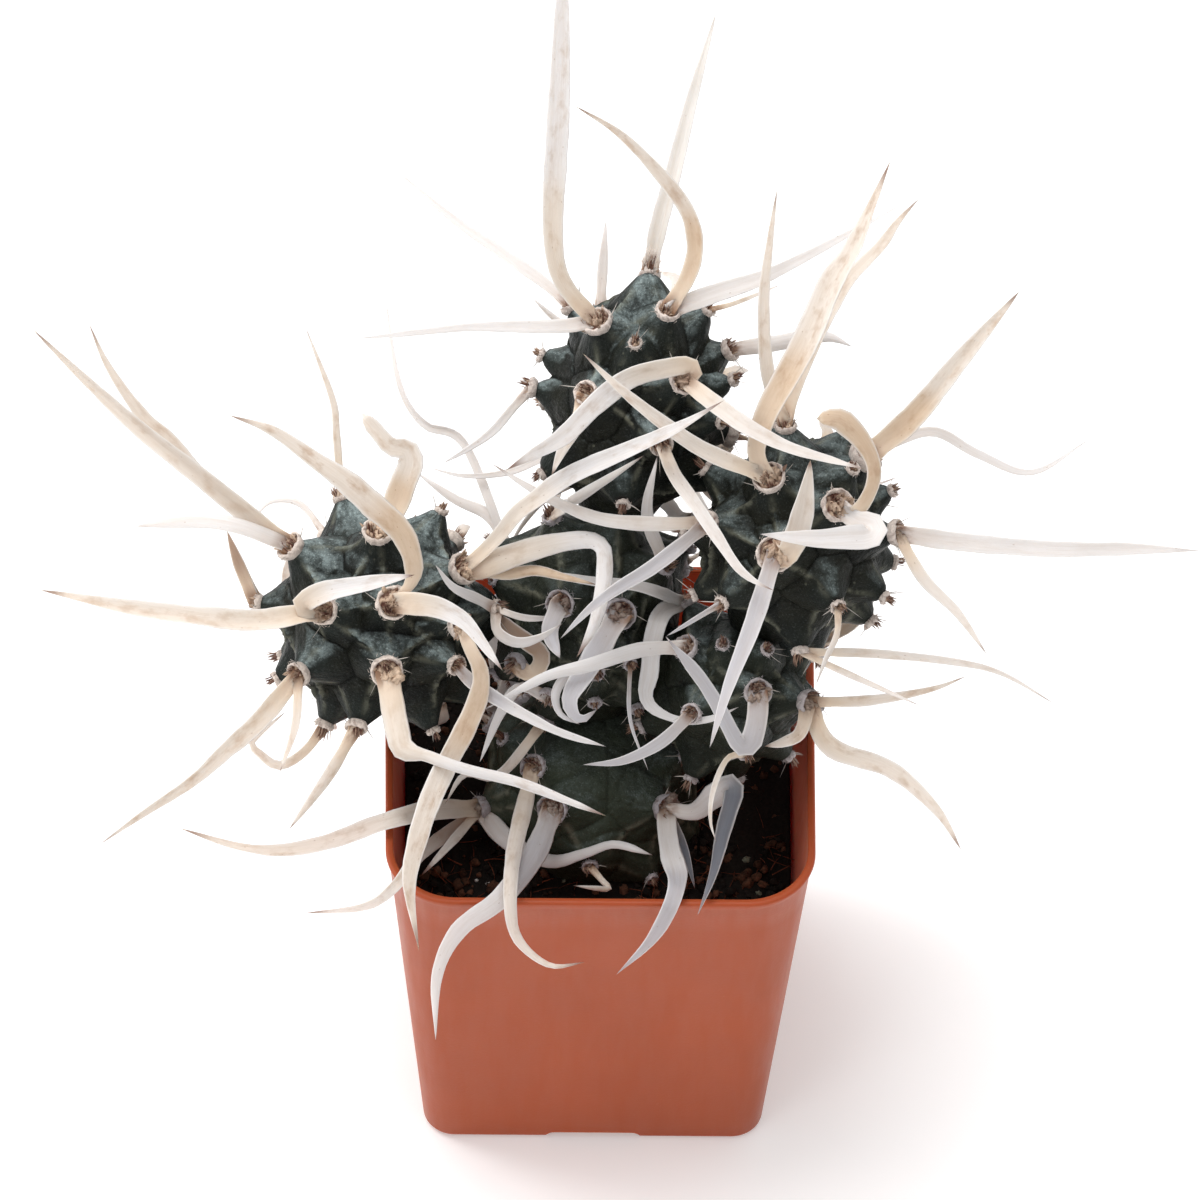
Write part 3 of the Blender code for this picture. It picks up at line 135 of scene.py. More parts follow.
# Spines drawn one by one, from the root outward: the segment, the greatest width or widths at shares
# of the length, how far the tip comes nearer than the root, and the route as (across, up). FAR marks
# a route that runs behind the segments it passes, with its root on the hidden side.
FAR = True
ROUTES = (
    (TOP, ((0, 3.2), (0.2, 3.7), (0.45, 4.7), (0.6, 4.5), (0.8, 3.3), (0.93, 2), (1, 0)), 36, ((-1, 82),
     (-4.4, 86), (-7.2, 89.6), (-8.8, 93.8), (-9.4, 100), (-9.3, 106.8), (-8.5, 120), (-7.9, 133.5),
     (-7.5, 146.8), (-7.3, 156))),
    (TOP, ((0, 3), (0.3, 2.6), (0.55, 1.6), (0.8, 1.2), (1, 0)), 4, ((-1, 82), (-7.3, 81.3), (-20.7, 81.2),
     (-27.3, 81), (-40.7, 79.6), (-49.3, 78.7))),
    (TOP, 3.6, 16, ((13.5, 85), (17.5, 91), (19, 97), (17.5, 104), (12, 111.5), (4, 119.5), (-5, 125))),
    (TOP, 3.8, 22, ((10, 93), (11.6, 101), (14.6, 112), (18.4, 127), (23.2, 144))),
    (TOP, 2.6, 4, ((0, 84), (0.4, 91), (1.2, 102.6)), FAR),
    (TOP, ((0, 3), (0.12, 3.9), (0.3, 3.6), (0.45, 2.5), (0.7, 1.6), (1, 0)), 4, ((13.5, 85), (18, 86.2),
     (24, 88.3), (32, 90.9), (40, 94.7), (50, 100), (60.8, 105.9))),
    (TOP, 1.2, 3, ((22, 85), (27, 86), (36, 89.6))),
    (TOP, ((0, 2.6), (0.2, 3.3), (0.6, 3.3), (0.8, 2), (1, 0)), -4, ((26, 77), (35.1, 77.9), (40, 78.8),
     (45.7, 79.1), (50.4, 77.2))),
    (TOP, 2.6, -6, ((-6, 85.6), (-11.3, 90.1), (-20.7, 96.8), (-29.3, 102.8), (-40, 112)), FAR),
    (TOP, 3.8, 3, ((-2.8, 68), (-4.4, 62), (-7.4, 56.6), (-9.6, 51.6))),
    (TOP, ((0, 3), (0.12, 3.8), (0.5, 4.3), (0.72, 3.8), (0.88, 2.2), (1, 0)), 6, ((18, 70.6), (19.2, 72.2),
     (17.3, 73.6), (12.9, 72.9), (8.4, 71.9), (4.4, 70.1), (-1.3, 65.5), (-7.3, 59.5), (-14, 55.5),
     (-18.7, 52.6))),
    (TOP, ((0, 3), (0.2, 3.6), (0.4, 3.5), (0.65, 2.3), (0.85, 1.4), (1, 0)), 15, ((17.8, 70.4),
     (22.7, 65.9), (29, 61.4), (37.3, 57.2), (46, 54.6), (52.7, 52.8))),
    (TOP, ((0, 2.6), (0.3, 3), (0.6, 2.6), (0.85, 1.5), (1, 0)), 14, ((12.2, 57.6), (14.7, 51.8),
     (18.7, 46.1), (23, 39.8), (27.3, 33.5), (30.7, 30.6), (34.7, 28.6))),
    (TOP, 2.2, -3, ((-14, 69), (-17.5, 65), (-21.3, 60.6), (-25.6, 57.4), (-31.4, 54))),
    (TOP, 1.8, 2, ((-4, 80), (-9, 83), (-13.4, 87)), FAR),
    (MIDDLE, 2.0, 2, ((-18, 36), (-27, 58), (-35, 62), (-40, 70), (-43, 88)), FAR),
    (MIDDLE, 2.8, 0, ((-16, 40), (-22, 43.5), (-29, 47), (-37, 52.5)), FAR),
    (MIDDLE, 2.0, 4, ((-10, 42), (-8, 55.5), (-18, 52.4), (-27, 51.6), (-34.6, 53.4)), FAR),
    (MIDDLE, 3.0, 5, ((10, 34), (9.4, 44), (11.4, 55.5))),
    (LEFT, ((0, 2.6), (0.2, 3), (0.4, 3.8), (0.6, 3.5), (0.8, 2.5), (1, 0)), 24, ((-27.2, 33.4),
     (-23, 36.6), (-19.3, 40.5), (-16.4, 44.1), (-12.7, 46.8), (-6, 51.5), (6, 56.8), (16, 61.4),
     (24.7, 66.5))),
    (RIGHT_TOP, 3.6, 2, ((33.2, 50.6), (21, 56.4), (12, 62.4), (4, 68.8), (-3.4, 75.8))),
    (RIGHT_TOP, 3.2, -6, ((21, 42), (10, 42), (0, 43), (-8, 46), (-14.4, 49.4), (-21.6, 54))),
    (RIGHT_TOP, ((0, 3.4), (0.12, 3.9), (0.3, 5.3), (0.45, 5.5), (0.6, 4.9), (0.8, 2.9), (1, 0)), 22,
     ((32.4, 51.2), (31.2, 55.5), (32.1, 60.8), (34, 65.5), (36.6, 70), (40, 76.1), (43.2, 82.8),
     (46, 89.5), (50.1, 96.1), (53.1, 102.8), (57.7, 114.1))),
    (RIGHT_TOP, ((0, 2.6), (0.5, 3), (0.8, 2.2), (1, 0)), 12, ((36.6, 61.2), (38.6, 68), (43.6, 80),
     (49.3, 90.2), (56, 97.4), (59.4, 102.2), (63.6, 106.8))),
    (RIGHT_TOP, 3.0, 16, ((36.4, 61), (33.4, 72), (32.6, 86), (33.8, 98), (35.2, 108.4))),
    (RIGHT_TOP, 5.2, 18, ((53, 55.6), (62, 63), (72, 75), (83.4, 88.2))),
    (RIGHT_TOP, ((0, 3.2), (0.1, 3.9), (0.5, 3.3), (0.75, 2.7), (0.88, 1.5), (1, 0)), 8, ((59.4, 40),
     (72, 38.4), (90, 37), (106, 37), (119.6, 36.6))),
    (RIGHT_TOP, 2.8, 2, ((59.4, 39), (64.4, 31), (71, 24.4), (77, 16))),
    (RIGHT_TOP, 2.2, -6, ((53.6, 55), (65.5, 60.4), (75, 56), (86, 52.2), (97.8, 59))),
    (RIGHT_TOP, ((0, 3), (0.35, 2.8), (0.55, 3), (0.7, 4.2), (0.84, 5), (0.94, 3.6), (1, 1.2)), 9,
     ((47.4, 44.4), (49.8, 43.8), (52.3, 45.8), (54.3, 50.1), (54.3, 54.1), (52.3, 58.1), (50, 60.8),
     (47.3, 62.8), (43, 62.8))),
    (RIGHT_TOP, ((0, 3.4), (0.18, 4), (0.32, 5.6), (0.5, 4.8), (0.7, 3.4), (0.85, 2.1), (1, 0)), 10,
     ((47.6, 43.8), (51, 42.6), (53.8, 42), (54.6, 40.6), (53.4, 39.4), (50, 39.2), (44, 38.9),
     (37.3, 39.3), (31.8, 39.9))),
    (RIGHT_TOP, 5.8, 9, ((34.8, 35.6), (37.6, 36.4), (40, 43.6), (41.8, 54.6))),
    (RIGHT_TOP, 4.0, 8, ((34.6, 34.4), (30.4, 22), (25.6, 9.6), (21.8, -2.6))),
    (RIGHT_TOP, 1.6, 2, ((47.4, 25), (47.2, 20), (45, 15), (43, 10))),
    (RIGHT_TOP, 1.4, 3, ((24, 26), (13.2, 19.6))),
    (RIGHT_TOP, 2.0, 4, ((40.4, 16.6), (54, 16.2), (70, 14.6), (80, 12.2), (90.4, 6.2))),
    (RIGHT_TOP, 1.6, 7, ((40.4, 15.8), (50, 11.8), (63.6, 5.8))),
    (RIGHT_LOW, 2.4, 6, ((42, 6.4), (54, 6.8), (66, 9), (73, 11.6))),
    (RIGHT_LOW, 4.2, 4, ((41.4, 5), (46, -2.4), (58, -7), (67, -15), (72, -23))),
    (RIGHT_LOW, 3.6, 1, ((41.4, 5), (40, 0.4), (36.6, -1.6), (32.8, -2.4))),
    (RIGHT_LOW, ((0, 4), (0.15, 4.2), (0.27, 4.6), (0.35, 3.4), (0.5, 3), (0.8, 2.6), (1, 0)), 9,
     ((31.5, 8), (31.4, 4), (30.6, 0), (29.4, -2.4), (27.4, -1.6), (23, 6.5), (19.3, 12.1), (13, 19.6))),
    (RIGHT_LOW, 2.6, 9, ((16, 28.2), (8, 29.4), (-1, 30.4), (-10, 31.8), (-19, 32.4))),
    (RIGHT_LOW, 3.4, 10, ((17, 17.4), (8, 16.8), (-2, 13.8), (-11, 11.4), (-23, 5))),
    (RIGHT_LOW, 2.8, 12, ((18.4, 3.2), (12, -1.6), (4.4, -5.2), (-3.4, -6))),
    (RIGHT_LOW, ((0, 3), (0.25, 3.9), (0.5, 3.7), (0.6, 2.6), (0.7, 1.6), (0.9, 1.3), (1, 0)), 12,
     ((16, 28), (12.6, 24.4), (10.6, 19), (9.9, 12.1), (9.1, 8.1), (10.7, 5.1), (16, 2.8), (22, 3.1),
     (27.7, 5.5))),
    (RIGHT_TOP, 3.3, 3, ((20.6, 41.4), (16, 37.6), (10, 33), (3.4, 29), (-2, 25), (-8, 19))),
    (MIDDLE, 5.4, 5, ((4, 24), (1, 19), (-2.6, 13), (-6, 7), (-4, 3), (-0.6, 5))),
    (MIDDLE, 2.4, 4, ((-1, 12.4), (-6, 12), (-8.8, 8.4), (-8, 4.2), (-4, 2))),
    (MIDDLE, 1.0, 8, ((6, 14), (6, 3), (9.6, -7.2))),
    (LEFT, ((0, 2.4), (0.1, 2.8), (0.22, 4), (0.45, 4.5), (0.75, 3.6), (1, 0)), 14, ((-27.8, 21.8),
     (-25.8, 17), (-23.8, 12.6), (-24.2, 7.6), (-27, 0.9), (-29.6, -4), (-33.6, -12.4), (-36.4, -21),
     (-38, -30), (-36, -43))),
    (MIDDLE, ((0, 3), (0.2, 3.4), (0.45, 3.8), (0.7, 3.2), (0.9, 2.4), (1, 0.8)), 7, ((-16.8, 13.8),
     (-14.4, 12.2), (-12.2, 13.4), (-11.8, 16.2), (-14.9, 18.8), (-18.4, 21.6), (-20.2, 23.6))),
    (MIDDLE, 4.6, 4, ((-8, 26), (-10, 20.6), (-8, 15.2))),
    (MIDDLE, 2.8, 8, ((-9.5, 43.5), (-4, 47.4), (3, 51.8), (8.8, 55.6))),
    (MIDDLE, 2.4, 6, ((-12, 0.6), (-20, -8), (-27, -8), (-31, -14))),
    (MIDDLE, 2.6, 5, ((-10.5, 7.4), (-16, 9.4), (-20, 4), (-24, -5.6))),
    (LEFT, ((0, 4.6), (0.1, 5.2), (0.3, 4.6), (0.45, 3.6), (0.55, 3.3), (0.68, 3.4), (0.8, 2.8), (0.9, 1.8),
     (1, 0)), 9, ((-27.4, 32.6), (-24, 33.4), (-14.5, 36.7), (-7.3, 38.4), (-2.2, 38.8), (0.4, 37.6),
     (1, 34.6), (0.7, 29.5), (-0.6, 23.5), (-2.3, 19.4), (-4.7, 15.3))),
    (LEFT, 2.8, 3, ((-27.2, 32.2), (-19, 32), (-13, 32.7), (-7.3, 31.4), (-0.4, 29.8))),
    (LEFT, 1.7, 5, ((-20.6, 25), (-14.6, 23.2), (-6.8, 23.4))),
    (LEFT, 2.6, 8, ((-20.6, 24), (-20.4, 20.6), (-16.5, 18.4), (-12, 19.4), (-7.4, 22.2))),
    (LEFT, 2.6, 10, ((-20.6, 25), (-24.4, 27), (-29.4, 29.4), (-32.8, 33.8))),
    (LEFT, 4.2, 16, ((-62.4, 38), (-71, 44.6), (-81, 52.6), (-91, 60.4), (-101, 69.4), (-113, 80.8))),
    (LEFT, 3.8, 12, ((-62.4, 37.4), (-71, 44), (-80, 51.6), (-85.4, 58.2), (-91.4, 63.8), (-98, 73.4),
     (-101.8, 82))),
    (LEFT, 3.2, 3, ((-69.4, 26), (-71.6, 33), (-74.4, 40.6))),
    (LEFT, ((0, 1.6), (0.07, 2), (0.15, 3.8), (0.27, 4.7), (0.42, 5.3), (0.52, 4.9), (0.64, 3.6), (0.85, 2),
     (1, 0)), 14, ((-40.8, 27), (-38.2, 29.4), (-37.2, 31.6), (-37.3, 35), (-39, 39.5), (-41.4, 42.4),
     (-44.7, 45.2), (-48.6, 48.8), (-52.4, 51.8), (-56, 54.2), (-65, 60.4), (-74, 63.6))),
    (LEFT, ((0, 4.6), (0.3, 5.3), (0.55, 5.2), (0.66, 4), (0.75, 3.4), (0.92, 3), (1, 1)), 4,
     ((-43.6, 39.8), (-41.2, 44.4), (-38.9, 50.4), (-37.6, 54), (-38.6, 57), (-41.6, 57.4), (-44.2, 60.2),
     (-47.4, 64))),
    (LEFT, 1.8, 6, ((-52, 48.4), (-52.6, 60), (-53.4, 67), (-58.8, 81.4))),
    (LEFT, 4.8, 7, ((-55.4, 24), (-59.6, 25.6), (-55, 28.2), (-46, 30), (-36.8, 31.8))),
    (LEFT, 4.6, 12, ((-56, 23.6), (-68, 22.6), (-80, 23.4), (-95, 25.4), (-111.4, 28.8))),
    (LEFT, ((0, 3), (0.15, 3.8), (0.35, 3.6), (0.55, 2.4), (0.8, 1.4), (1, 0)), 13, ((-60.6, 11.6),
     (-68, 2.8), (-74.7, -3.2), (-81.3, -9.2), (-91.3, -15.9), (-99.9, -22.1))),
    (LEFT, 2.2, -2, ((-55.4, 1), (-58, -2.4), (-61.3, -5.2), (-64.7, -6.2), (-68, -3.8), (-69.7, -1.9),
     (-68, 0.1), (-62.7, 4.5))),
    (LEFT, 2.2, 4, ((-60.2, 10.4), (-60.6, 2), (-63.8, -7.6))),
    (LEFT, 2.8, -2, ((-48.8, 0.6), (-54, -8), (-62, -19))),
    (LEFT, ((0, 2.8), (0.4, 3.3), (0.7, 3.2), (0.85, 2), (1, 0)), 8, ((-62.4, 39), (-72, 41.6),
     (-81.4, 42.8), (-92.6, 41.4))),
    (LEFT, 1.6, -2, ((-55, 40), (-60, 46), (-66, 46.4), (-70, 42)), FAR),
    (LEFT, ((0, 2.4), (0.2, 2.8), (0.45, 2.5), (0.65, 1.8), (0.85, 1.3), (1, 0)), 9, ((-28.2, 13.6),
     (-25.4, 10.6), (-19.5, 6.7), (-13.6, 3.4), (-7.8, 0.6), (1.3, -2.4))),
    (LEFT, ((0, 4.2), (0.25, 4.7), (0.5, 3.6), (0.65, 2.8), (0.85, 1.7), (1, 0)), 8, ((-41.7, 26.2),
     (-38, 26.2), (-33, 25.6), (-29.4, 24.2), (-26.4, 22.2), (-23.4, 18.4), (-19.3, 12.7))),
    (LEFT, ((0, 4.6), (0.1, 4.9), (0.24, 5.1), (0.29, 4.4), (0.34, 2.4), (0.5, 2.3), (0.75, 2), (0.9, 1.3),
     (1, 0)), 7, ((-42.6, 12.8), (-42, 10), (-41, 3.5), (-39.7, -2.2), (-38.4, -3.6), (-36, -3.8),
     (-27.3, -6.8), (-16.7, -9.4), (-7.3, -12.9), (1.3, -16.2))),
    (BASE, 4.2, 11, ((-24, -15), (-33, -15.4), (-43, -17.6), (-54, -21.6), (-64, -23.4), (-73, -22.4),
     (-84, -18.8))),
    (BASE, ((0, 3.6), (0.15, 4.2), (0.35, 3.4), (0.55, 2.3), (0.75, 1.8), (0.9, 1.5), (1, 0)), 15,
     ((-24, -15.6), (-18, -21.6), (-10, -25.4), (-3, -23.8), (3, -22), (10.6, -24.2))),
    (BASE, 3.0, 12, ((-24, -16), (-36, -24), (-41, -30.4), (-47, -34.4), (-59, -35.8))),
    (BASE, 5.0, 14, ((-9.5, -16), (-13, -24), (-20, -33), (-28, -39), (-32.4, -48), (-32.8, -61))),
    (BASE, 3.8, 20, ((-13.4, -6.6), (-15, -14), (-17.2, -24), (-17.8, -34), (-16.2, -41), (-10, -46),
     (-3, -45.4))),
    (RIGHT_LOW, 1.4, 4, ((29, -4), (25.4, -4.8), (22.6, -11), (22, -17), (23.2, -21.6))),
    (BASE, ((0, 3.6), (0.2, 4), (0.4, 4.8), (0.55, 3.4), (0.75, 2.9), (1, 0)), 16, ((13.3, -15.6),
     (13.3, -18.5), (14.1, -23.9), (15.3, -28.9), (13.9, -34.5), (10, -41.2), (3.2, -48))),
    (BASE, 2.0, 5, ((13.8, -16), (16.6, -22), (19, -31))),
    (BASE, ((0, 2.4), (0.15, 3.6), (0.28, 5), (0.36, 4.6), (0.5, 3.8), (0.7, 2.7), (1, 0)), 18, ((14, -15),
     (18.6, -15.6), (22.6, -12.6), (26.4, -9.8), (26.4, -12.6), (24.6, -19), (22.5, -27.9), (19.4, -36.2))),
    (BASE, 2.2, 12, ((-24, -14), (-30, -22), (-36, -28.6))),
    (BASE, 1.6, 7, ((-2, -26.4), (0.4, -29.2), (1.8, -30.8), (-0.6, -30.8), (-5.4, -30.2))),
)

# Hidden sides: areoles follow a golden-angle spiral, each with one or two drooping spines.
SPIRAL_TURN = math.radians(137.508)
SPIRAL_AREOLES = 34
SEEN_SIDE = 0.22
AREOLE_APART = 0.42
SAME_AREOLE = 0.24
JOINT_CLEAR = 0.62
SOIL_CLEAR = 5.0
HIDDEN_LENGTH = (30.0, 58.0)
HIDDEN_WIDTH = (3.0, 4.8)
HIDDEN_TRIES = 40
HIDDEN_SHORTER = 0.018
SHADOW_PAD = 7.0
POT_SHADOW = (-20.0, 18.0, -10.0, 28.0)

# Routes have this many points. They are settled in rounds that move them along the sight line, by
# these clearances from the segments, from the pot and from each other, in millimetres.
STEPS = 24
ROUNDS = 60
ROOT_LIFT = 5.0
BODY_CLEAR = 1.3
POT_CLEAR = 2.6
RIM_CLEAR = 4.8
CORNER_CUT = (6.0, 7.0)
PEAT_CLEAR = 1.8
POT_LIFT = 0.6
LIFT_FROM = 2
LIFT_TRIES = (8, 60)
ROOT_FREE = 4
PAIR_ROOM = 5.0
BLADE_CLEAR = 1.4
BLADE_DEPTH = 2.7
PAIR_PACE = 0.6
ROOT_POINTS = 9

# The finer surfaces: faces along a quarter turn for each millimetre of radius, folds of skin between
# areoles, and the rings, thickness and channel of the papery blades.
SKIN_DETAIL = 3.9
TIP_RADIUS = 1.3
SPREAD = 0.2
AREOLE_SUNK = 0.1
WEB_HEIGHT = (0.2, 0.52)
WEB_WIDTH = 0.075
CREST_WIDTH = 0.03
CREASE_DEPTH = 0.5
WRINKLE = 0.3
WARP_SEED = 11
OLD_SKIN = {BASE: 0.9, MIDDLE: 0.3, RIGHT_LOW: 0.25}
# Painted shade: how far each segment's skin is painted darker and with less bloom, where it sits deep in
# the shade of the others.
PAINTED_SEGMENT_SHADE = {MIDDLE: 0.8, BASE: 0.75, RIGHT_LOW: 0.5, RIGHT_TOP: 0.4, TOP: 0.1}
OLD_CREASES = {BASE: ((80.0, 0.6), (86.0, 0.3), (75.0, 0.3))}
BLADE_STEP = 1.5
BLADE_THICK = 0.3
CUP = (0.02, 0.2)
KEEL = (0.0, 0.3)
ROOT_SUNK = 2.0
BLUNT_AGE = 0.85
TIP_MATCH = 0.1
AREOLE_SIZE = 1.3
AREOLE_ROOM = 0.8
AREOLE_GROWTH = 0.46
AREOLE_VARIES = (0.93, 1.07)
CROWN = (10.0, 92.6)
CROWN_HIGH = 4.0
CROWN_HAIRS = 60
HAIRS = 30
GLOCHIDS = 20
KNOB_LUMPS = 5
SCRAPS = (3, 7)
COLLAR = (30, 7)
DOME = (7, 22)
KNOB_FROM = 4.1
CORNER_STEPS = 16
SOIL_STEPS = 22
SOIL_RINGS = 46
CRUMBS = 1100
FIBRES = 420
GRIT = 46
STEM_ROOM = 19.0
STONES = ((-34.0, -33.0, 3.4), (34.0, -30.5, 2.6), (26.0, -34.0, 2.2))
FLOOR_SIZE = 3.0
FLOOR_DROP = 0.0002

# Colours, as linear red, green and blue.
# Painted shade: the near-black that stays in the skin's valleys and low places.
SKIN_VALLEY_SHADE = (0.005, 0.006, 0.005)
SKIN_OLIVE = (0.011, 0.0115, 0.007)
SKIN_MIDDLE = (0.0125, 0.0165, 0.014)
SKIN_OLD = (0.036, 0.045, 0.029)
# Bloom and frost are real pale coatings. They are painted lighter on upward-facing flanks as painted
# highlight.
SKIN_BLOOM_HIGHLIGHT = (0.285, 0.35, 0.35)
SKIN_FROST_HIGHLIGHT = (0.42, 0.48, 0.47)
SKIN_VEIN = (0.2, 0.2, 0.15)
SKIN_STAIN = (0.022, 0.009, 0.008)
# The lilac and slate papers are painted shade, for blades that lie in shadow.
PAPERS = {
    "bright": (0.85, 0.8, 0.755), "pale": (0.7, 0.655, 0.635), "white": (0.71, 0.675, 0.665),
    "ivory": (0.67, 0.595, 0.535), "tan": (0.55, 0.42, 0.315), "lilac": (0.45, 0.44, 0.465),
    "slate": (0.13, 0.14, 0.165), "brown": (0.33, 0.24, 0.185),
}
WARMTH = {"tan": 1.0, "brown": 0.8, "ivory": 0.7}
SPINE_FIBRE = (0.82, 0.77, 0.72)
SPINE_TAN = (0.3, 0.18, 0.1)
SPINE_EDGE = (0.78, 0.745, 0.72)
SPINE_ROOT = (0.24, 0.13, 0.075)
SPINE_CREAM = (0.66, 0.54, 0.43)
SPINE_TIP = (0.1, 0.035, 0.02)
WOOL_WARM = (0.8, 0.69, 0.61)
# Greyer wool and a duskier cup, painted as shade on the areoles of the deeper segments.
WOOL_IN_SHADE = (0.5, 0.46, 0.48)
# Brown of the areole wool, also used as painted shade in the hollows of each cup.
WOOL_BROWN_AND_SHADE = (0.12, 0.042, 0.026)
WOOL_CREAM = (0.68, 0.5, 0.36)
CUP_IN_SHADE = (0.24, 0.2, 0.185)
GLOCHID = (0.14, 0.048, 0.03)
GLOCHID_TAN = (0.5, 0.34, 0.24)
BRISTLE = (0.72, 0.66, 0.6)
PEAT_DARK = (0.016, 0.012, 0.0095)
PEAT_BROWN = (0.095, 0.042, 0.024)
FIBRE_RED = (0.2, 0.06, 0.03)
STONE_GREY = (0.2, 0.21, 0.15)
PERLITE = (0.6, 0.6, 0.57)
POT_COLOUR = (0.358, 0.067, 0.018)
POT_SHADE = (0.331, 0.063, 0.018)
POT_DUST = (0.52, 0.24, 0.15)
# Painted light: the inside of the wall is painted lighter, for light that shines through the thin plastic.
POT_INNER_GLOW = (0.6, 0.135, 0.05)
FLOOR_COLOUR = (0.93, 0.93, 0.93)

# Paper tones of spines that differ from their neighbours, by the place of the tip.
TONES = {
    (-5, 125): "tan ivory", (83.4, 88.2): "tan ivory", (43, 62.8): "tan", (41.8, 54.6): "ivory",
    # The spine ending at (23.2, 144) takes the bright paper as painted light, because it faces away from
    # the lamps.
    (57.7, 114.1): "tan ivory", (63.6, 106.8): "ivory", (-7.3, 156): "ivory white", (23.2, 144): "bright",
    (-49.3, 78.7): "white", (-31.4, 54): "white", (50.4, 77.2): "white", (60.8, 105.9): "white",
    (-40, 112): "white", (97.8, 59): "white", (119.6, 36.6): "white", (-92.6, 41.4): "white",
    (-18.7, 52.6): "ivory white", (24.7, 66.5): "ivory white", (31.8, 39.9): "white",
    (-113, 80.8): "ivory", (-101.8, 82): "ivory", (-74.4, 40.6): "brown", (-111.4, 28.8): "ivory",
    (-74, 63.6): "tan ivory", (-47.4, 64): "tan ivory", (-36.8, 31.8): "ivory white",
    (-0.6, 5): "lilac", (1.3, -16.2): "ivory white", (1.3, -2.4): "lilac white",
    (-4.7, 15.3): "ivory white", (-19.3, 12.7): "ivory white", (-0.4, 29.8): "tan",
    (-20.2, 23.6): "brown", (-8, 15.2): "lilac",
    (-36, -43): "tan ivory", (13, 19.6): "lilac", (-3.4, -6): "lilac", (-8, 19): "lilac",
    (21.8, -2.6): "lilac", (9.6, -7.2): "lilac", (-23, 5): "white", (27.7, 5.5): "white",
    (3.2, -48): "white lilac", (19.4, -36.2): "white slate", (19, -31): "slate",
    (10.6, -24.2): "white", (-32.8, -61): "lilac white", (-84, -18.8): "ivory",
}

# Light and camera, in metres and watts.
TENT_STRENGTH = 0.66
TABLE_GLOW = 0.22
VIEW_DISTANCE = 10.0
VIEW_WIDTH = 0.24
VIEW_CENTRE = 26.8
SENSOR = 36.0

# Lamps: the place, the height each is aimed at over the middle of the pot, its width and its power.
LAMPS = {
    "key": ((-0.3, 0.3, 1.5), 0.1, 1.0, 16.0),
    "side": ((-1.0, 0.4, 0.8), 0.12, 0.5, 4.0),
    "fill": ((-0.8, -0.9, 0.7), 0.1, 0.6, 2.0),
}


def from_view(point):
    """Turns (across, up, near) rows into x, y, z rows."""
    rows = np.atleast_2d(np.asarray(point, dtype=float))
    return RIM_MIDDLE + rows[:, :1] * RIGHT + rows[:, 1:2] * UPWARD + rows[:, 2:3] * NEARER


def to_view(point):
    rows = np.atleast_2d(np.asarray(point, dtype=float)) - RIM_MIDDLE
    return np.stack((rows @ RIGHT, rows @ UPWARD, rows @ NEARER), axis=1)


def unit(vector):
    vector = np.asarray(vector, dtype=float)
    return vector / max(float(np.linalg.norm(vector)), 1e-9)


def units(rows):
    return rows / np.linalg.norm(rows, axis=1)[:, None]


def squared(side, tangent):
    """Side directions turned square to the tangents, with length one."""
    return units(side - np.einsum("ij,ij->i", side, tangent)[:, None] * tangent)


def ease(value):
    value = np.clip(value, 0.0, 1.0)
    return value * value * (3.0 - 2.0 * value)


def segment_axes(info):
    """Rows are the segment's own x, y and z directions."""
    along = unit(info["lean"])
    side = unit(np.cross((0.0, 1.0, 0.0), along))
    return np.stack((side, np.cross(along, side), along))


def padded(info, pad=0.0):
    """The half sizes of a segment's spheroid, each made larger by the pad."""
    return np.array((info["radius"], info["radius"], info["half"])) + pad


def local(info, points, pad=0.0):
    """Points in the segment's own directions, scaled so that its padded spheroid is a unit ball."""
    own = (np.atleast_2d(points) - info["middle"]) @ segment_axes(info).T
    return own / padded(info, pad)


def spheroid_reach(info, directions):
    """How far the smooth body reaches along each direction of the world."""
    own = directions @ segment_axes(info).T
    return 1.0 / np.linalg.norm(own / padded(info), axis=1)


def tubercle_tip(info, way, rise=0.0):
    """The top of the tubercle that points along `way`, or a place above or below it."""
    return info["middle"] + way * (spheroid_reach(info, way[None])[0] + info["bump"] + rise)


def view_span(info, across, up, pad):
    """Nearest and farthest `near` of a padded spheroid on each sight line, or NaN beside it."""
    start = from_view(np.stack((across, up, np.zeros_like(across)), axis=1))
    origin = local(info, start, pad)
    step = (NEARER @ segment_axes(info).T) / padded(info, pad)
    a = step @ step
    b = origin @ step
    c = np.einsum("ij,ij->i", origin, origin) - 1.0
    with np.errstate(invalid="ignore"):
        root = np.sqrt(b * b - a * c)
    return (-b - root) / a, (-b + root) / a


def areole_direction(info, across, up, far=False):
    """Direction from the segment's middle to the tubercle tip seen at (across, up)."""
    pad = info["bump"]
    low, high = view_span(info, np.array((across,)), np.array((up,)), pad)
    near = low[0] if far else high[0]
    if math.isnan(near):
        near = float(to_view(info["middle"])[0, 2])
    return unit(from_view((across, up, near))[0] - info["middle"])


def joint_direction(info):
    if info["on"] is None:
        return np.array((0.0, 0.0, -1.0))
    return unit(SEGMENTS[info["on"]]["middle"] - info["middle"])


def spiral_directions(info, taken):
    """The areoles of the hidden side, clear of the joint and of those already taken."""
    found = []
    axes = segment_axes(info)
    joints = [joint_direction(info)]
    for other in SEGMENTS.values():
        if other["on"] and SEGMENTS[other["on"]] is info:
            joints.append(-joint_direction(other))
    for index in range(SPIRAL_AREOLES):
        height = 1.0 - 2.0 * (index + 0.5) / SPIRAL_AREOLES
        ring = math.sqrt(1.0 - height * height)
        turn = index * SPIRAL_TURN
        way = np.array((ring * math.cos(turn), ring * math.sin(turn), height)) @ axes
        if way @ NEARER > SEEN_SIDE:
            continue
        if any(way @ other > math.cos(AREOLE_APART) for other in taken + found):
            continue
        if any(way @ joint > math.cos(JOINT_CLEAR) for joint in joints):
            continue
        if (info["middle"] + way * info["radius"])[2] < SOIL_TOP + SOIL_CLEAR:
            continue
        found.append(way)
    return found


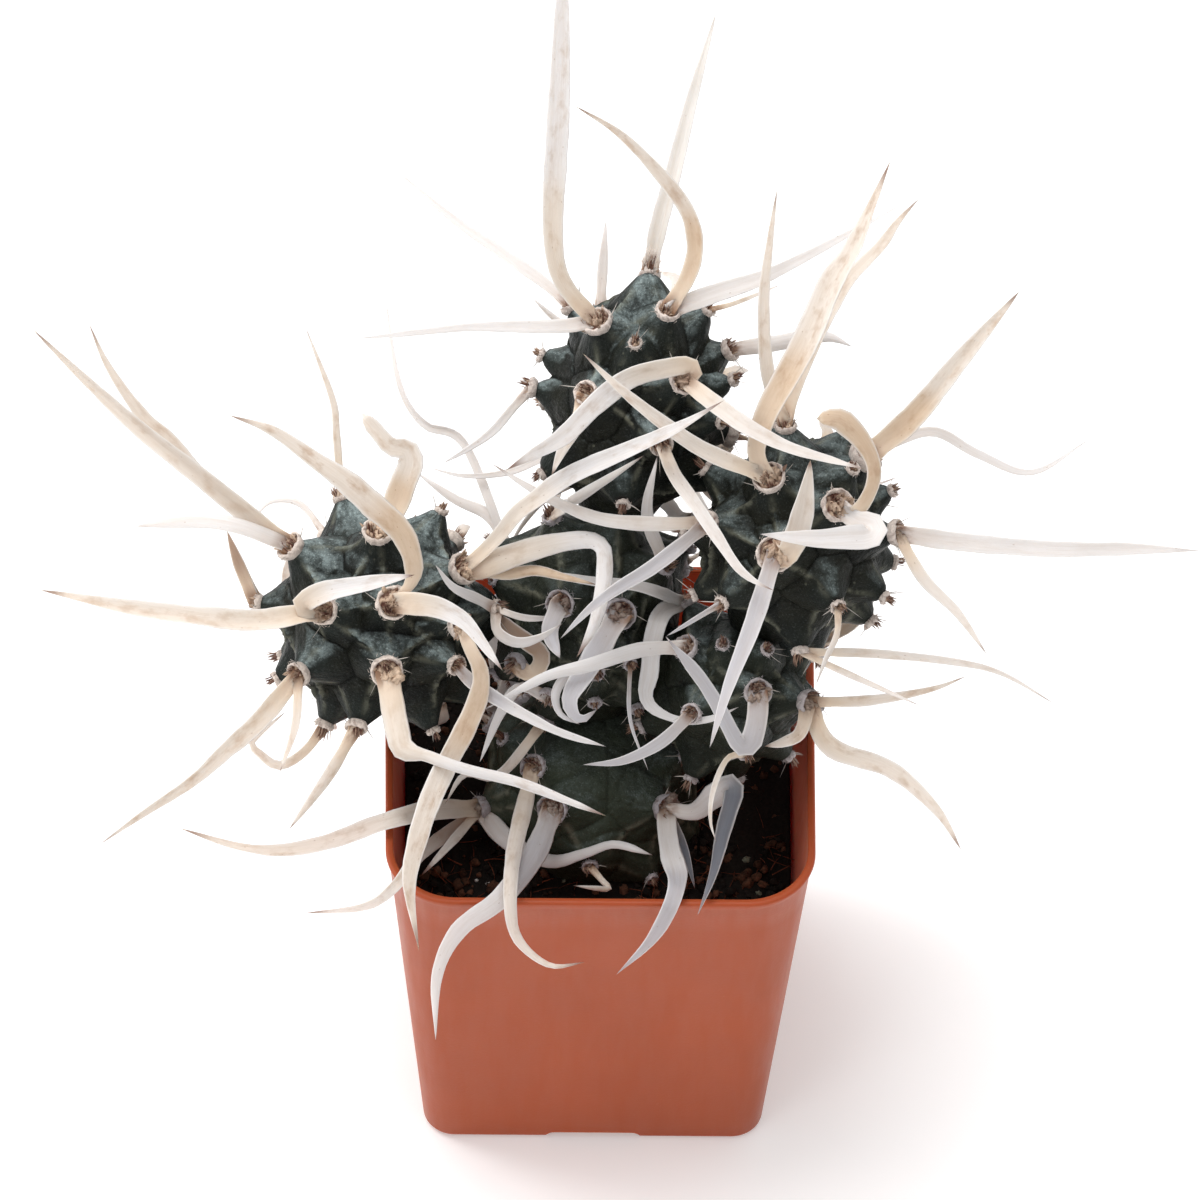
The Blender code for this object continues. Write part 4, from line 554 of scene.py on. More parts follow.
def smooth_route(points, count=STEPS):
    """Even steps along a smooth curve through the given points."""
    points = np.asarray(points, dtype=float)
    ends = np.vstack((2 * points[0] - points[1], points, 2 * points[-1] - points[-2]))
    fine = []
    for k in range(1, len(ends) - 2):
        p0, p1, p2, p3 = ends[k - 1:k + 3]
        for t in np.linspace(0.0, 1.0, 12, endpoint=False):
            fine.append(0.5 * (2 * p1 + (p2 - p0) * t + (2 * p0 - 5 * p1 + 4 * p2 - p3) * t * t
                               + (3 * p1 - p0 - 3 * p2 + p3) * t ** 3))
    fine.append(points[-1])
    fine = np.array(fine)
    length = np.concatenate(((0.0,), np.cumsum(np.linalg.norm(np.diff(fine, axis=0), axis=1))))
    wanted = np.linspace(0.0, length[-1], count)
    return np.stack([np.interp(wanted, length, fine[:, k]) for k in range(fine.shape[1])], axis=1)


def gather_areoles():
    """All areole directions of each segment, first those given, then those of the hidden side."""
    result = {}
    for name, info in SEGMENTS.items():
        ways = [areole_direction(info, *place) for place in info["areoles"]]
        for route in ROUTES:
            if route[0] != name:
                continue
            far = len(route) > 4
            way = areole_direction(info, *route[3][0], far=far)
            if all(way @ other < math.cos(SAME_AREOLE) for other in ways):
                ways.append(way)
        result[name] = (ways, spiral_directions(info, ways))
    return result


def nearest_areole(info, ways, across, up, far):
    wish = areole_direction(info, across, up, far=far)
    return max(ways, key=lambda way: float(way @ wish))


def drawn_spines(areoles):
    """The routes drawn one by one, with a first guess of their depth."""
    spines = []
    for route in ROUTES:
        name, width, rise, places = route[:4]
        profile = width if isinstance(width, tuple) else None
        width = max(wide for _, wide in profile) if profile else width
        far = len(route) > 4
        info = SEGMENTS[name]
        way = nearest_areole(info, areoles[name][0], *places[0], far)
        seen = to_view(tubercle_tip(info, way))[0]
        flat = smooth_route([seen[:2]] + [np.array(p, dtype=float) for p in places[1:]])
        share = np.linspace(0.0, 1.0, STEPS)
        out = ROOT_LIFT * float(way @ NEARER) * (1.0 - np.exp(-share / 0.12))
        near = seen[2] + out + rise * share
        line = np.column_stack((flat, near))
        spines.append(dict(segment=name, width=width, profile=profile, line=line, way=way, drawn=True,
                           far=far, face=NEARER))
    return spines


def in_shadow(across, up):
    """Whether a point of the view plane is hidden by or close to a segment or the pot."""
    for info in SEGMENTS.values():
        if not math.isnan(view_span(info, np.array((across,)), np.array((up,)), SHADOW_PAD)[0][0]):
            return True
    left, right, low, high = POT_SHADOW
    return left < across < right and low < up < high


def hidden_spines(areoles, rng):
    """Drooping spines for the hidden sides, kept behind the segments as seen from the front."""
    spines = []
    for name, info in SEGMENTS.items():
        for way in areoles[name][1]:
            tip = tubercle_tip(info, way)
            for attempt in range(HIDDEN_TRIES):
                length = rng.uniform(*HIDDEN_LENGTH) * (1.0 - HIDDEN_SHORTER * attempt)
                bend = np.array((rng.uniform(-1, 1), rng.uniform(-0.2, 1.0), rng.uniform(-1.3, 0.45)))
                mid = tip + unit(way + 0.25 * bend) * length * 0.45
                end = mid + unit(0.7 * way + 0.75 * bend) * length * 0.55
                route = smooth_route((tip, tip + way * length * 0.12, mid, end))
                line = to_view(route)
                if not pot_clash(route[2:]).any() and all(in_shadow(*p[:2]) for p in line[::3]):
                    break
            else:
                continue
            width = rng.uniform(*HIDDEN_WIDTH)
            turn = rng.uniform(-0.7, 0.7)
            face = np.array((math.sin(turn), 0.75 * math.cos(turn), 0.65))
            spines.append(dict(segment=name, width=width, profile=None, line=line, way=way,
                               drawn=False, far=True, face=unit(face)))
    return spines


def spine_widths(spine, share):
    """Width along the spine: narrower at the root, widest near a third, then a long taper."""
    grow = 0.62 + 0.38 * ease(share / 0.25)
    taper = np.clip(1.0 - share ** 1.8, 0.0, 1.0) ** 0.85
    width = spine["width"] * grow * taper
    if spine["profile"]:
        width = np.interp(share, *zip(*spine["profile"]))
    line = from_view(spine["line"])
    bend = np.linalg.norm(np.gradient(np.gradient(line, axis=0), axis=0), axis=1)
    pace = np.linalg.norm(np.gradient(line, axis=0), axis=1)
    curl = np.interp(share, np.linspace(0, 1, STEPS), pace * pace / np.maximum(bend, 1e-6))
    return np.minimum(width, np.maximum(1.7 * curl, 1.2))


def pot_half(z):
    return FOOT_HALF + (RIM_HALF - FOOT_HALF) * z / POT_HEIGHT


def pot_clash(points):
    """Whether each point is in or close to the pot wall, its rim or the soil."""
    x, y, z = abs(points[:, 0]), abs(points[:, 1]), points[:, 2]
    outer = pot_half(np.minimum(z, POT_HEIGHT)) + POT_CLEAR
    inner = outer - WALL - RIM_CLEAR
    widest = np.maximum(x, y)
    within = (widest < outer) & (x + y < 2 * outer - CORNER_CUT[0]) & (z < POT_HEIGHT + POT_CLEAR)
    cavity = (widest < inner) & (x + y < 2 * inner - CORNER_CUT[1])
    return within & (~cavity | (z < SOIL_TOP + PEAT_CLEAR))


def lift_over_pot(line, tries):
    """Brings each point nearer until it is clear of the pot and the soil."""
    for _ in range(tries):
        clash = pot_clash(from_view(line))
        clash[:LIFT_FROM] = False
        if not clash.any():
            break
        line[clash, 2] += POT_LIFT


def keep_off_bodies(spine):
    """Keeps a route before the segments, or behind them if it runs on the far side."""
    line = spine["line"]
    for name, info in SEGMENTS.items():
        own = name == spine["segment"]
        pad = info["bump"] * (0.7 if own else 1.0) + BODY_CLEAR
        if not spine["drawn"]:
            place = local(info, from_view(line), pad)
            size = np.linalg.norm(place, axis=1)
            inside = size < 1.0
            inside[:ROOT_FREE] = False
            out = from_view(line) - info["middle"]
            push = (1.0 / np.maximum(size, 0.3) - 1.0)[:, None] * out
            line[inside] = to_view(from_view(line)[inside] + push[inside])
            continue
        low, high = view_span(info, line[:, 0], line[:, 1], pad)
        for k in range(ROOT_FREE, STEPS):
            if math.isnan(low[k]):
                continue
            if spine["far"]:
                line[k, 2] = min(line[k, 2], low[k])
            else:
                line[k, 2] = max(line[k, 2], high[k])


def part_pairs(spines, widths, ready):
    """Moves routes apart along the sight line where two would touch."""
    for i, one in enumerate(spines):
        for j in range(i + 1, len(spines)):
            two = spines[j]
            a, b = one["line"], two["line"]
            if any((p[:, :2].min(0) - PAIR_ROOM > q[:, :2].max(0)).any() for p, q in ((a, b), (b, a))):
                continue
            flat = np.linalg.norm(a[:, None, :2] - b[None, :, :2], axis=2)
            reach = 0.5 * (widths[i][:, None] + widths[j][None]) + BLADE_CLEAR
            depth = a[:, None, 2] - b[None, :, 2]
            need = BLADE_DEPTH * ease(1.6 * (1.0 - flat / reach) + 0.35)
            if one["segment"] == two["segment"]:
                need = need * 0.8
                if one["way"] @ two["way"] > 0.995:
                    need[:ROOT_POINTS, :ROOT_POINTS] = 0.0
            overlap = flat < reach
            if np.where(overlap, need - np.abs(depth), 0.0).max() <= 0.0:
                continue
            sign = 1.0 if depth[overlap].mean() >= 0 else -1.0
            short = np.where(overlap, need - sign * depth, 0.0)
            share_a = ready[:, None] / (ready[:, None] + ready[None] + 1e-6)
            move_a = (short * share_a).max(1)
            move_b = (short * (1.0 - share_a)).max(0)
            a[:, 2] += PAIR_PACE * sign * np.maximum(move_a, 0.0) * (ready > 0)
            b[:, 2] -= PAIR_PACE * sign * np.maximum(move_b, 0.0) * (ready > 0)


def evened(line):
    """The depths of a route with each point drawn toward its neighbours."""
    smooth = line[:, 2].copy()
    smooth[1:-1] = 0.25 * line[:-2, 2] + 0.5 * line[1:-1, 2] + 0.25 * line[2:, 2]
    smooth[-1] = 0.5 * line[-1, 2] + 0.5 * (2 * line[-2, 2] - line[-3, 2])
    smooth[0] = line[0, 2]
    return smooth


def settle(spines, rounds):
    """Bends the spines clear of each other, of the segments and of the pot."""
    share = np.linspace(0.0, 1.0, STEPS)
    widths = [spine_widths(spine, share) for spine in spines]
    ready = ease((share - 0.02) / 0.16)
    for _ in range(rounds):
        for spine in spines:
            spine["line"][:, 2] = evened(spine["line"])
            keep_off_bodies(spine)
            if spine["drawn"]:
                lift_over_pot(spine["line"], LIFT_TRIES[0])
        part_pairs(spines, widths, ready)
    for spine in spines:
        line = spine["line"]
        if spine["drawn"] and not spine["far"]:
            for _ in range(4):
                lift_over_pot(line, LIFT_TRIES[1])
                line[:, 2] = np.maximum(line[:, 2], evened(line))


def ribbon_frames(spine, line):
    """Tangent and side directions at each point of a route."""
    tangent = units(np.gradient(line, axis=0))
    side = np.cross(tangent, spine["face"])
    size = np.linalg.norm(side, axis=1)
    for k in range(len(side)):
        if size[k] < 0.35:
            side[k] = side[k - 1] if k else np.cross(tangent[k], RIGHT)
    for k in range(1, len(side)):
        if side[k] @ side[k - 1] < 0 and size[k] < 0.5:
            side[k] = -side[k]
    return tangent, squared(side, tangent)


def rounded_square(half, corner, z, steps):
    """The points of a square with round corners, anticlockwise."""
    points = []
    for quarter in range(4):
        start = quarter * math.pi / 2
        cx = (half - corner) * (1 if quarter in (0, 3) else -1)
        cy = (half - corner) * (1 if quarter in (0, 1) else -1)
        for k in range(steps + 1):
            turn = start + (math.pi / 2) * k / steps
            points.append(Vector((cx + corner * math.cos(turn), cy + corner * math.sin(turn), z)))
    return points


def corner_at(z):
    return FOOT_CORNER + (RIM_CORNER - FOOT_CORNER) * z / POT_HEIGHT


class Heap:
    """Gathers many small shapes into one mesh, with a few numbers kept at every point."""

    def __init__(self):
        self.points = []
        self.faces = []
        self.marks = {}
        self.size = 0

    def add(self, points, faces, **marks):
        self.points.append(np.asarray(points, dtype=float))
        self.faces += [tuple(k + self.size for k in face) for face in faces]
        for name, value in marks.items():
            rows = np.broadcast_to(np.asarray(value, dtype=float), (len(points), 3))
            self.marks.setdefault(name, []).append(rows)
        self.size += len(points)

    def build(self, name, look, slot):
        mesh = bpy.data.meshes.new(name)
        mesh.from_pydata((np.vstack(self.points) * MM).tolist(), [], self.faces)
        for mark, rows in self.marks.items():
            layer = mesh.attributes.new(mark, "FLOAT_VECTOR", "POINT")
            layer.data.foreach_set("vector", np.vstack(rows).astype(np.float32).ravel())
        return finished(name, mesh, look)


def shown(name, data):
    """A new object, linked into the scene."""
    item = bpy.data.objects.new(name, data)
    bpy.context.scene.collection.objects.link(item)
    return item


def finished(name, mesh, look):
    """A smooth object with its material, riding on the one body."""
    mesh.materials.append(look)
    mesh.shade_smooth()
    item = shown(name, mesh)
    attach(item, "root")
    return item


class Shader:
    """A material whose nodes are added and linked in short steps."""

    def __init__(self, name, **sockets):
        self.look = bpy.data.materials.new(name)
        self.look.use_nodes = True
        self.tree = self.look.node_tree
        self.surface = self.tree.nodes["Principled BSDF"]
        self.set(**sockets)

    def set(self, **sockets):
        for key, value in sockets.items():
            self.feed(self.surface, key.replace("_", " "), value)

    def feed(self, node, key, value):
        if isinstance(value, bpy.types.NodeSocket):
            self.tree.links.new(value, node.inputs[key])
        elif isinstance(value, tuple) and len(value) == 3 and node.inputs[key].type == "RGBA":
            node.inputs[key].default_value = (*value, 1.0)
        else:
            node.inputs[key].default_value = value

    def node(self, kind, settings, inputs):
        node = self.tree.nodes.new("ShaderNode" + kind)
        for key, value in settings.items():
            setattr(node, key, value)
        for key, value in inputs.items():
            self.feed(node, key, value)
        return node

    def place(self):
        return self.node("TexCoord", {}, {}).outputs["Object"]

    def mark(self, name):
        return self.node("Attribute", {"attribute_name": name}, {}).outputs["Vector"]

    def part(self, vector, axis):
        return self.node("SeparateXYZ", {}, {0: vector}).outputs[axis]

    def stretch(self, vector, scale):
        return self.node("VectorMath", {"operation": "MULTIPLY"}, {0: vector, 1: scale}).outputs[0]

    def noise(self, vector, scale, detail=3.0, roughness=0.55):
        inputs = {"Vector": vector, "Scale": scale, "Detail": detail, "Roughness": roughness}
        return self.node("TexNoise", {}, inputs).outputs["Fac"]

    def spots(self, vector, scale):
        return self.node("TexVoronoi", {}, {"Vector": vector, "Scale": scale}).outputs["Distance"]

    def math(self, operation, first, second=0.0):
        inputs = {0: first, 1: second}
        return self.node("Math", {"operation": operation, "use_clamp": True}, inputs).outputs[0]

    def times(self, first, second):
        return self.math("MULTIPLY", first, second)

    def span(self, value, low, high, start=0.0, end=1.0):
        inputs = {"Value": value, "From Min": low, "From Max": high, "To Min": start, "To Max": end}
        node = self.node("MapRange", {"interpolation_type": "SMOOTHSTEP"}, inputs)
        return node.outputs["Result"]

    def mix(self, factor, first, second, blend="MIX"):
        settings = {"data_type": "RGBA", "blend_type": blend}
        return self.node("Mix", settings, {0: factor, 6: first, 7: second}).outputs[2]

    def normal(self):
        return self.node("NewGeometry", {}, {}).outputs["Normal"]

    def bump(self, height, strength, distance, normal=None):
        inputs = {"Height": height, "Strength": strength, "Distance": distance}
        if normal is not None:
            inputs["Normal"] = normal
        return self.node("Bump", {}, inputs).outputs["Normal"]


def skin_shader():
    """Waxy skin, bluish bloom, pale specks; painted shade in valleys, painted highlight on upper flanks."""
    s = Shader("cactus_skin", Specular_IOR_Level=0.13)
    place = s.place()
    relief = s.mark("relief")
    height = s.part(relief, 0)
    ridge = s.part(relief, 1)
    old = s.part(relief, 2)
    # Painted shade over the deeper segments takes away their raised tone and their bloom.
    bright = s.math("SUBTRACT", 1.0, s.part(s.mark("dull"), 0))
    flank = s.mark("flank")
    broad = s.noise(place, 110.0, 4.0)
    grainy = s.noise(place, 1500.0, 6.0, 0.75)
    cloud = s.math("ADD", s.noise(place, 300.0, 6.0, 0.68), s.times(grainy, 0.5))
    streak = s.noise(flank, 1.0, 5.0, 0.6)
    # Painted shade: the near-black and olive base stays in valleys and low places; only raised parts take
    # the middle tone.
    base = s.mix(s.span(broad, 0.35, 0.65), SKIN_VALLEY_SHADE, SKIN_OLIVE)
    base = s.mix(s.times(bright, s.span(height, 0.12, 0.7)), base, SKIN_MIDDLE)
    base = s.mix(s.times(old, s.span(broad, 0.25, 0.6, 0.5, 1.0)), base, SKIN_OLD)
    veil = s.times(s.span(cloud, 0.6, 0.88, 0.2, 1.0), s.span(streak, 0.3, 0.62, 0.35, 1.0))
    veil = s.times(veil, s.span(height, 0.05, 0.45, 0.3, 1.0))
    # Painted highlight: the bloom is laid mostly on upward-facing flanks, where the lamp above falls, and
    # the frost specks follow it.
    lit = s.times(s.times(s.span(s.part(s.normal(), 2), 0.62, 0.94), bright), veil)
    base = s.mix(s.times(lit, 0.95), base, SKIN_BLOOM_HIGHLIGHT)
    speck = s.span(s.noise(place, 2600.0, 3.0, 0.75), 0.55, 0.66)
    frost = s.times(speck, s.math("ADD", lit, 0.06))
    base = s.mix(frost, base, SKIN_FROST_HIGHLIGHT)
    veins = s.times(ridge, s.span(s.noise(place, 400.0, 3.0), 0.36, 0.56))
    base = s.mix(s.times(veins, 0.85), base, SKIN_VEIN)
    base = s.mix(s.span(height, 0.86, 0.97, 0.0, 0.85), base, SKIN_STAIN)
    scab = s.span(s.spots(place, 210.0), 0.085, 0.03)
    base = s.mix(s.times(scab, 0.3), base, SKIN_VEIN)
    rough = s.span(cloud, 0.6, 0.95, 0.4, 0.6)
    wrinkles = s.bump(streak, 0.55, 0.0012)
    folds = s.bump(s.noise(place, 620.0, 5.0, 0.62), 0.75, 0.0009, wrinkles)
    grain = s.bump(s.noise(place, 3200.0, 3.0, 0.6), 0.45, 0.00025, folds)
    s.set(Base_Color=base, Roughness=rough, Normal=grain)
    return s.look


def spine_shader():
    """Dry paper: long fibres and channels, brown point and root, a few dark flecks."""
    s = Shader("paper_spine", Roughness=0.62, Specular_IOR_Level=0.22, Subsurface_Weight=0.45,
               Subsurface_Scale=0.0015, Subsurface_Radius=(1.0, 0.88, 0.78))
    blade = s.mark("blade")
    share = s.part(blade, 0)
    across = s.part(blade, 1)
    tan = s.part(blade, 2)
    tint = s.mark("tint")
    fibre = s.mark("fibre")
    streak = s.noise(s.stretch(fibre, (0.16, 4.6, 1.0)), 1.0, 5.0, 0.66)
    channel = s.noise(s.stretch(fibre, (0.03, 1.1, 1.0)), 1.0, 2.0, 0.4)
    blotch = s.noise(s.stretch(fibre, (0.2, 0.4, 1.0)), 1.0, 4.0, 0.6)
    base = s.mix(s.span(streak, 0.35, 0.75, 0.0, 0.4), tint, SPINE_FIBRE, "MULTIPLY")
    base = s.mix(s.span(channel, 0.4, 0.7, 0.0, 0.3), base, SPINE_FIBRE, "MULTIPLY")
    brown = s.times(s.span(blotch, 0.46, 0.74), tan)
    base = s.mix(s.times(brown, 0.55), base, SPINE_TAN)
    edge = s.span(across, 0.7, 1.0, 0.0, 0.5)
    base = s.mix(edge, base, SPINE_EDGE)
    distance = s.part(fibre, 0)
    cream = s.math("ADD", s.span(distance, 11.0, 3.0, 0.0, 0.6), s.span(share, 0.5, 0.1, 0.0, 0.35))
    base = s.mix(s.times(cream, s.span(tan, -0.1, 0.8, 0.08, 1.0)), base, SPINE_CREAM)
    root = s.span(distance, 5.0, 0.4, 0.0, 0.95)
    base = s.mix(s.times(root, s.span(blotch, 0.36, 0.58)), base, SPINE_ROOT)
    tip = s.span(share, 0.89, 0.99)
    base = s.mix(s.times(tip, s.span(tan, 0.0, 0.5, 0.3, 0.97)), base, SPINE_TIP)
    fleck = s.span(s.spots(s.stretch(fibre, (0.3, 0.7, 1.0)), 1.0), 0.085, 0.04)
    base = s.mix(s.times(fleck, 0.45), base, SPINE_ROOT)
    groove = s.bump(blotch, 0.3, 0.0006)
    s.set(Base_Color=base, Normal=s.bump(streak, 0.3, 0.0002, groove))
    return s.look


def tinted_shader(name, fine, strength, **sockets):
    """A material whose colour is kept at the points, broken up by a fine grain."""
    s = Shader(name, **sockets)
    grain = s.noise(s.place(), fine, 4.0, 0.65)
    shade = s.mix(s.span(grain, 0.3, 0.7), (1.0 - strength,) * 3, (1.0, 1.0, 1.0))
    base = s.mix(1.0, s.mark("tint"), shade, "MULTIPLY")
    s.set(Base_Color=base, Normal=s.bump(grain, 0.4, 0.0003))
    return s.look


def pot_shader():
    """Satin moulded plastic, faintly mottled, with a few fine rubs and painted light on the inner wall."""
    s = Shader("terracotta_plastic", Specular_IOR_Level=0.26, Subsurface_Weight=0.35,
               Subsurface_Scale=0.003, Subsurface_Radius=(1.0, 0.4, 0.25), Sheen_Weight=0.1,
               Sheen_Roughness=0.35)
    place = s.place()
    mottle = s.noise(place, 38.0, 5.0, 0.55)
    base = s.mix(s.span(mottle, 0.3, 0.7), POT_COLOUR, POT_SHADE)
    dust = s.span(s.noise(place, 900.0, 4.0, 0.7), 0.62, 0.8, 0.0, 0.14)
    base = s.mix(dust, base, POT_DUST)
    inputs = {0: place, 1: s.normal()}
    outward = s.node("VectorMath", {"operation": "DOT_PRODUCT"}, inputs).outputs["Value"]
    # Painted light on faces that look inward: a lighter orange for light through the wall.
    base = s.mix(s.span(outward, -0.02, -0.035), base, POT_INNER_GLOW)
    rub = s.noise(s.stretch(place, (1.0, 1.0, 0.12)), 260.0, 4.0, 0.6)
    rough = s.span(rub, 0.3, 0.7, 0.4, 0.54)
    skin = s.bump(s.noise(place, 1500.0, 2.0, 0.5), 0.12, 0.0002)
    wave = s.bump(s.noise(place, 45.0, 2.0, 0.4), 0.25, 0.0006, skin)
    s.set(Base_Color=base, Roughness=rough, Normal=wave)
    return s.look


def floor_shader():
    s = Shader("pale_floor", Roughness=0.9, Specular_IOR_Level=0.1, Emission_Strength=TABLE_GLOW)
    s.set(Base_Color=FLOOR_COLOUR, Emission_Color=(1.0, 1.0, 1.0))
    return s.look


def cube_sphere(count):
    """Even directions over a ball, as six grids sewn together, with quads between them."""
    steps = np.tan(np.linspace(-math.pi / 4, math.pi / 4, count + 1))
    places, quads = {}, []
    for axis in range(3):
        for sign in (-1, 1):
            ids = np.zeros((count + 1, count + 1), dtype=int)
            for i in range(count + 1):
                for j in range(count + 1):
                    spot = [0.0, 0.0, 0.0]
                    spot[axis] = float(sign)
                    spot[(axis + 1) % 3] = float(steps[i])
                    spot[(axis + 2) % 3] = float(steps[j])
                    key = tuple(round(c, 5) + 0.0 for c in spot)
                    ids[i, j] = places.setdefault(key, len(places))
            for i in range(count):
                for j in range(count):
                    quad = (ids[i, j], ids[i + 1, j], ids[i + 1, j + 1], ids[i, j + 1])
                    quads.append(quad if sign > 0 else quad[::-1])
    return units(np.array(list(places))), [tuple(map(int, q)) for q in quads]


def webs_of(ways, rng):
    """Pairs of neighbouring areoles joined by a low fold of skin, with its height."""
    pairs = {}
    for i, way in enumerate(ways):
        order = sorted(range(len(ways)), key=lambda k: -float(way @ ways[k]))
        for k in order[1:5]:
            if way @ ways[k] > math.cos(1.05):
                pairs[(min(i, k), max(i, k))] = rng.uniform(*WEB_HEIGHT)
    return pairs


def web_relief(points, ways, pairs):
    """Height of the folds at each direction as a share of a tubercle's height, and their thin crests."""
    relief = np.zeros(len(points))
    crest = np.zeros(len(points))
    for (i, k), high in pairs.items():
        a, b = ways[i], ways[k]
        across = unit(np.cross(a, b))
        off = np.abs(points @ across)
        along = units(points - (points @ across)[:, None] * across)
        full = math.acos(np.clip(a @ b, -1, 1))
        from_a = np.arccos(np.clip(along @ a, -1, 1))
        from_b = np.arccos(np.clip(along @ b, -1, 1))
        within = np.clip(1.0 - (from_a + from_b - full) / 0.06, 0.0, 1.0)
        relief = np.maximum(relief, high * within * np.exp(-off / WEB_WIDTH))
        crest = np.maximum(crest, within * np.exp(-(off / CREST_WIDTH) ** 2))
    return relief, crest


def flank_marks(bent, areoles, order, first, radius):
    """Coordinates round and away from the nearest areole, for wrinkles that run down its flanks."""
    marks = np.zeros((len(bent), 3))
    for k, home in enumerate(areoles):
        mine = order == k
        side = unit(np.cross(home, (0.3, 0.2, 0.93)))
        spot = np.stack((bent[mine] @ side, bent[mine] @ np.cross(home, side)), axis=1)
        spot /= np.maximum(np.linalg.norm(spot, axis=1), 1e-6)[:, None]
        marks[mine, :2] = 2.3 * spot + (7.0 * k, 3.0 * k)
        marks[mine, 2] = 0.17 * first[mine] * radius
    return marks


def noises(points, scale, octaves):
    return np.array([noise.fractal(Vector(p) * scale, 0.8, 2.1, octaves) for p in points.tolist()])


def fine_radius(name, info, ways, areoles, webs):
    """Radius of the fine skin at each direction, its relief and ridge marks, and its flank marks."""
    warp = np.array([noise.noise_vector(Vector(w * 3.1 + info["radius"])) for w in ways])
    bent = units(ways + 0.035 * warp)
    reach = spheroid_reach(info, ways)
    edge = TIP_RADIUS / info["radius"]
    angles = np.arccos(np.clip(bent @ np.array(areoles).T, -1, 1))
    order = np.argsort(angles, axis=1)
    first = np.take_along_axis(angles, order[:, :1], 1)[:, 0]
    second = np.take_along_axis(angles, order[:, 1:2], 1)[:, 0]
    cone = np.exp(-np.maximum(first - edge, 0.0) / SPREAD)
    gap = np.clip((second - first) / (second + first), 0.0, 1.0) ** 1.25
    peak = 0.56 * cone + 0.44 * gap * np.exp(-np.maximum(first - 0.5, 0.0) / 0.3)
    border = np.exp(-((second - first) / 0.028) ** 2)
    web, crest = web_relief(bent, areoles, webs)
    off_joint = np.arccos(np.clip(ways @ joint_direction(info), -1.0, 1.0))
    calm = ease((off_joint - 0.3) / 0.4)
    neck = 6.5 * (1.0 - ease(off_joint / 0.55)) if info["on"] else 0.0
    flank = flank_marks(bent, areoles, order[:, 0], first, info["radius"])
    rough = noises(ways + info["half"], 5.0, 5)
    folded = 1.0 - np.abs(noises(bent + 3.0, 3.4, 3)) * 9.0
    wrinkle = noises(flank, 1.0, 4) * np.exp(-((first * info["radius"] - 4.5) / 3.0) ** 2)
    height = (np.maximum(peak, 0.0) ** 9 + web ** 9) ** (1.0 / 9.0)
    young = 1.0 - 0.6 * OLD_SKIN.get(name, 0.0)
    size = reach + info["bump"] * height * calm + neck
    size += young * (0.3 * rough * (1.0 - cone) + WRINKLE * wrinkle)
    size -= CREASE_DEPTH * border * (1.0 - height) * calm * young
    size -= 0.22 * np.clip(folded, 0.0, 1.0) * (1.0 - cone)
    for level, depth in OLD_CREASES.get(name, ()):
        height_there = info["middle"][2] + ways[:, 2] * reach + 3.0 * warp[:, 0]
        size -= depth * np.exp(-np.abs(height_there - level) / 0.5)
    crest = crest * (1.0 - cone)
    relief = np.stack((height, crest, np.full(len(ways), OLD_SKIN.get(name, 0.0))), axis=1)
    return size, relief, flank


def build_skin(name, info, areoles, look):
    count = int(SKIN_DETAIL * info["radius"])
    ways, quads = cube_sphere(count)
    webs = webs_of(areoles, random.Random(name))
    size, relief, flank = fine_radius(name, info, ways, areoles, webs)
    heap = Heap()
    heap.add(info["middle"] + ways * size[:, None], quads, relief=relief, flank=flank,
             dull=(PAINTED_SEGMENT_SHADE.get(name, 0.0), 0.0, 0.0))
    skin = heap.build("skin_" + name.removeprefix(PREFIX), look, "cactus_skin")
    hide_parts(name)


def band_faces(rings, sides):
    """Quads between equal loops that follow each other."""
    faces = []
    for k in range(rings - 1):
        for c in range(sides):
            d = (c + 1) % sides
            faces.append((k * sides + c, k * sides + d, (k + 1) * sides + d, (k + 1) * sides + c))
    return faces


def tube_faces(rings, sides):
    """Quads along a tube of equal loops, its root cap and the fan round its tip."""
    faces = band_faces(rings, sides)
    last = (rings - 1) * sides
    faces += [(last + c, last + (c + 1) % sides, rings * sides) for c in range(sides)]
    faces.append(tuple(range(sides - 1, -1, -1)))
    return faces


# One hair has three corners to a ring. A blade's section runs over its top side, then back below.
HAIR_RINGS = 3
HAIR_FACES = tube_faces(HAIR_RINGS, 3)
CORNERS = np.array([(math.cos(a), math.sin(a)) for a in (0.0, 2 * math.pi / 3, 4 * math.pi / 3)])
TOP_SIDE = np.array((-1.0, -0.9, -0.45, 0.0, 0.45, 0.9, 1.0))
LOW_SIDE = np.array((0.9, 0.45, 0.0, -0.45, -0.9))
SECTION = np.concatenate((TOP_SIDE, LOW_SIDE))
SECTION_SIGN = np.concatenate((np.ones(len(TOP_SIDE)), -np.ones(len(LOW_SIDE))))


def hair(heap, start, way, length, radius, bend, tint, flat=1.0, side=(0.21, 0.55, 0.81)):
    """One hair, thorn or scale that starts along `way` and bends by the vector `bend`."""
    across = unit(np.cross(way, side))
    other = np.cross(way, across) * flat
    rows = []
    for k in range(HAIR_RINGS):
        t = k / HAIR_RINGS
        centre = start + way * length * t + bend * length * t * t
        size = radius * (1.0 - 0.75 * t * t)
        rows += [centre + size * (c * across + s * other) for c, s in CORNERS]
    rows.append(start + way * length + bend * length)
    heap.add(rows, HAIR_FACES, tint=tint)


def smoothed(rows, times):
    for _ in range(times):
        inner = 0.25 * rows[:-2] + 0.5 * rows[1:-1] + 0.25 * rows[2:]
        rows = np.vstack((rows[:1], inner, rows[-1:]))
    return rows


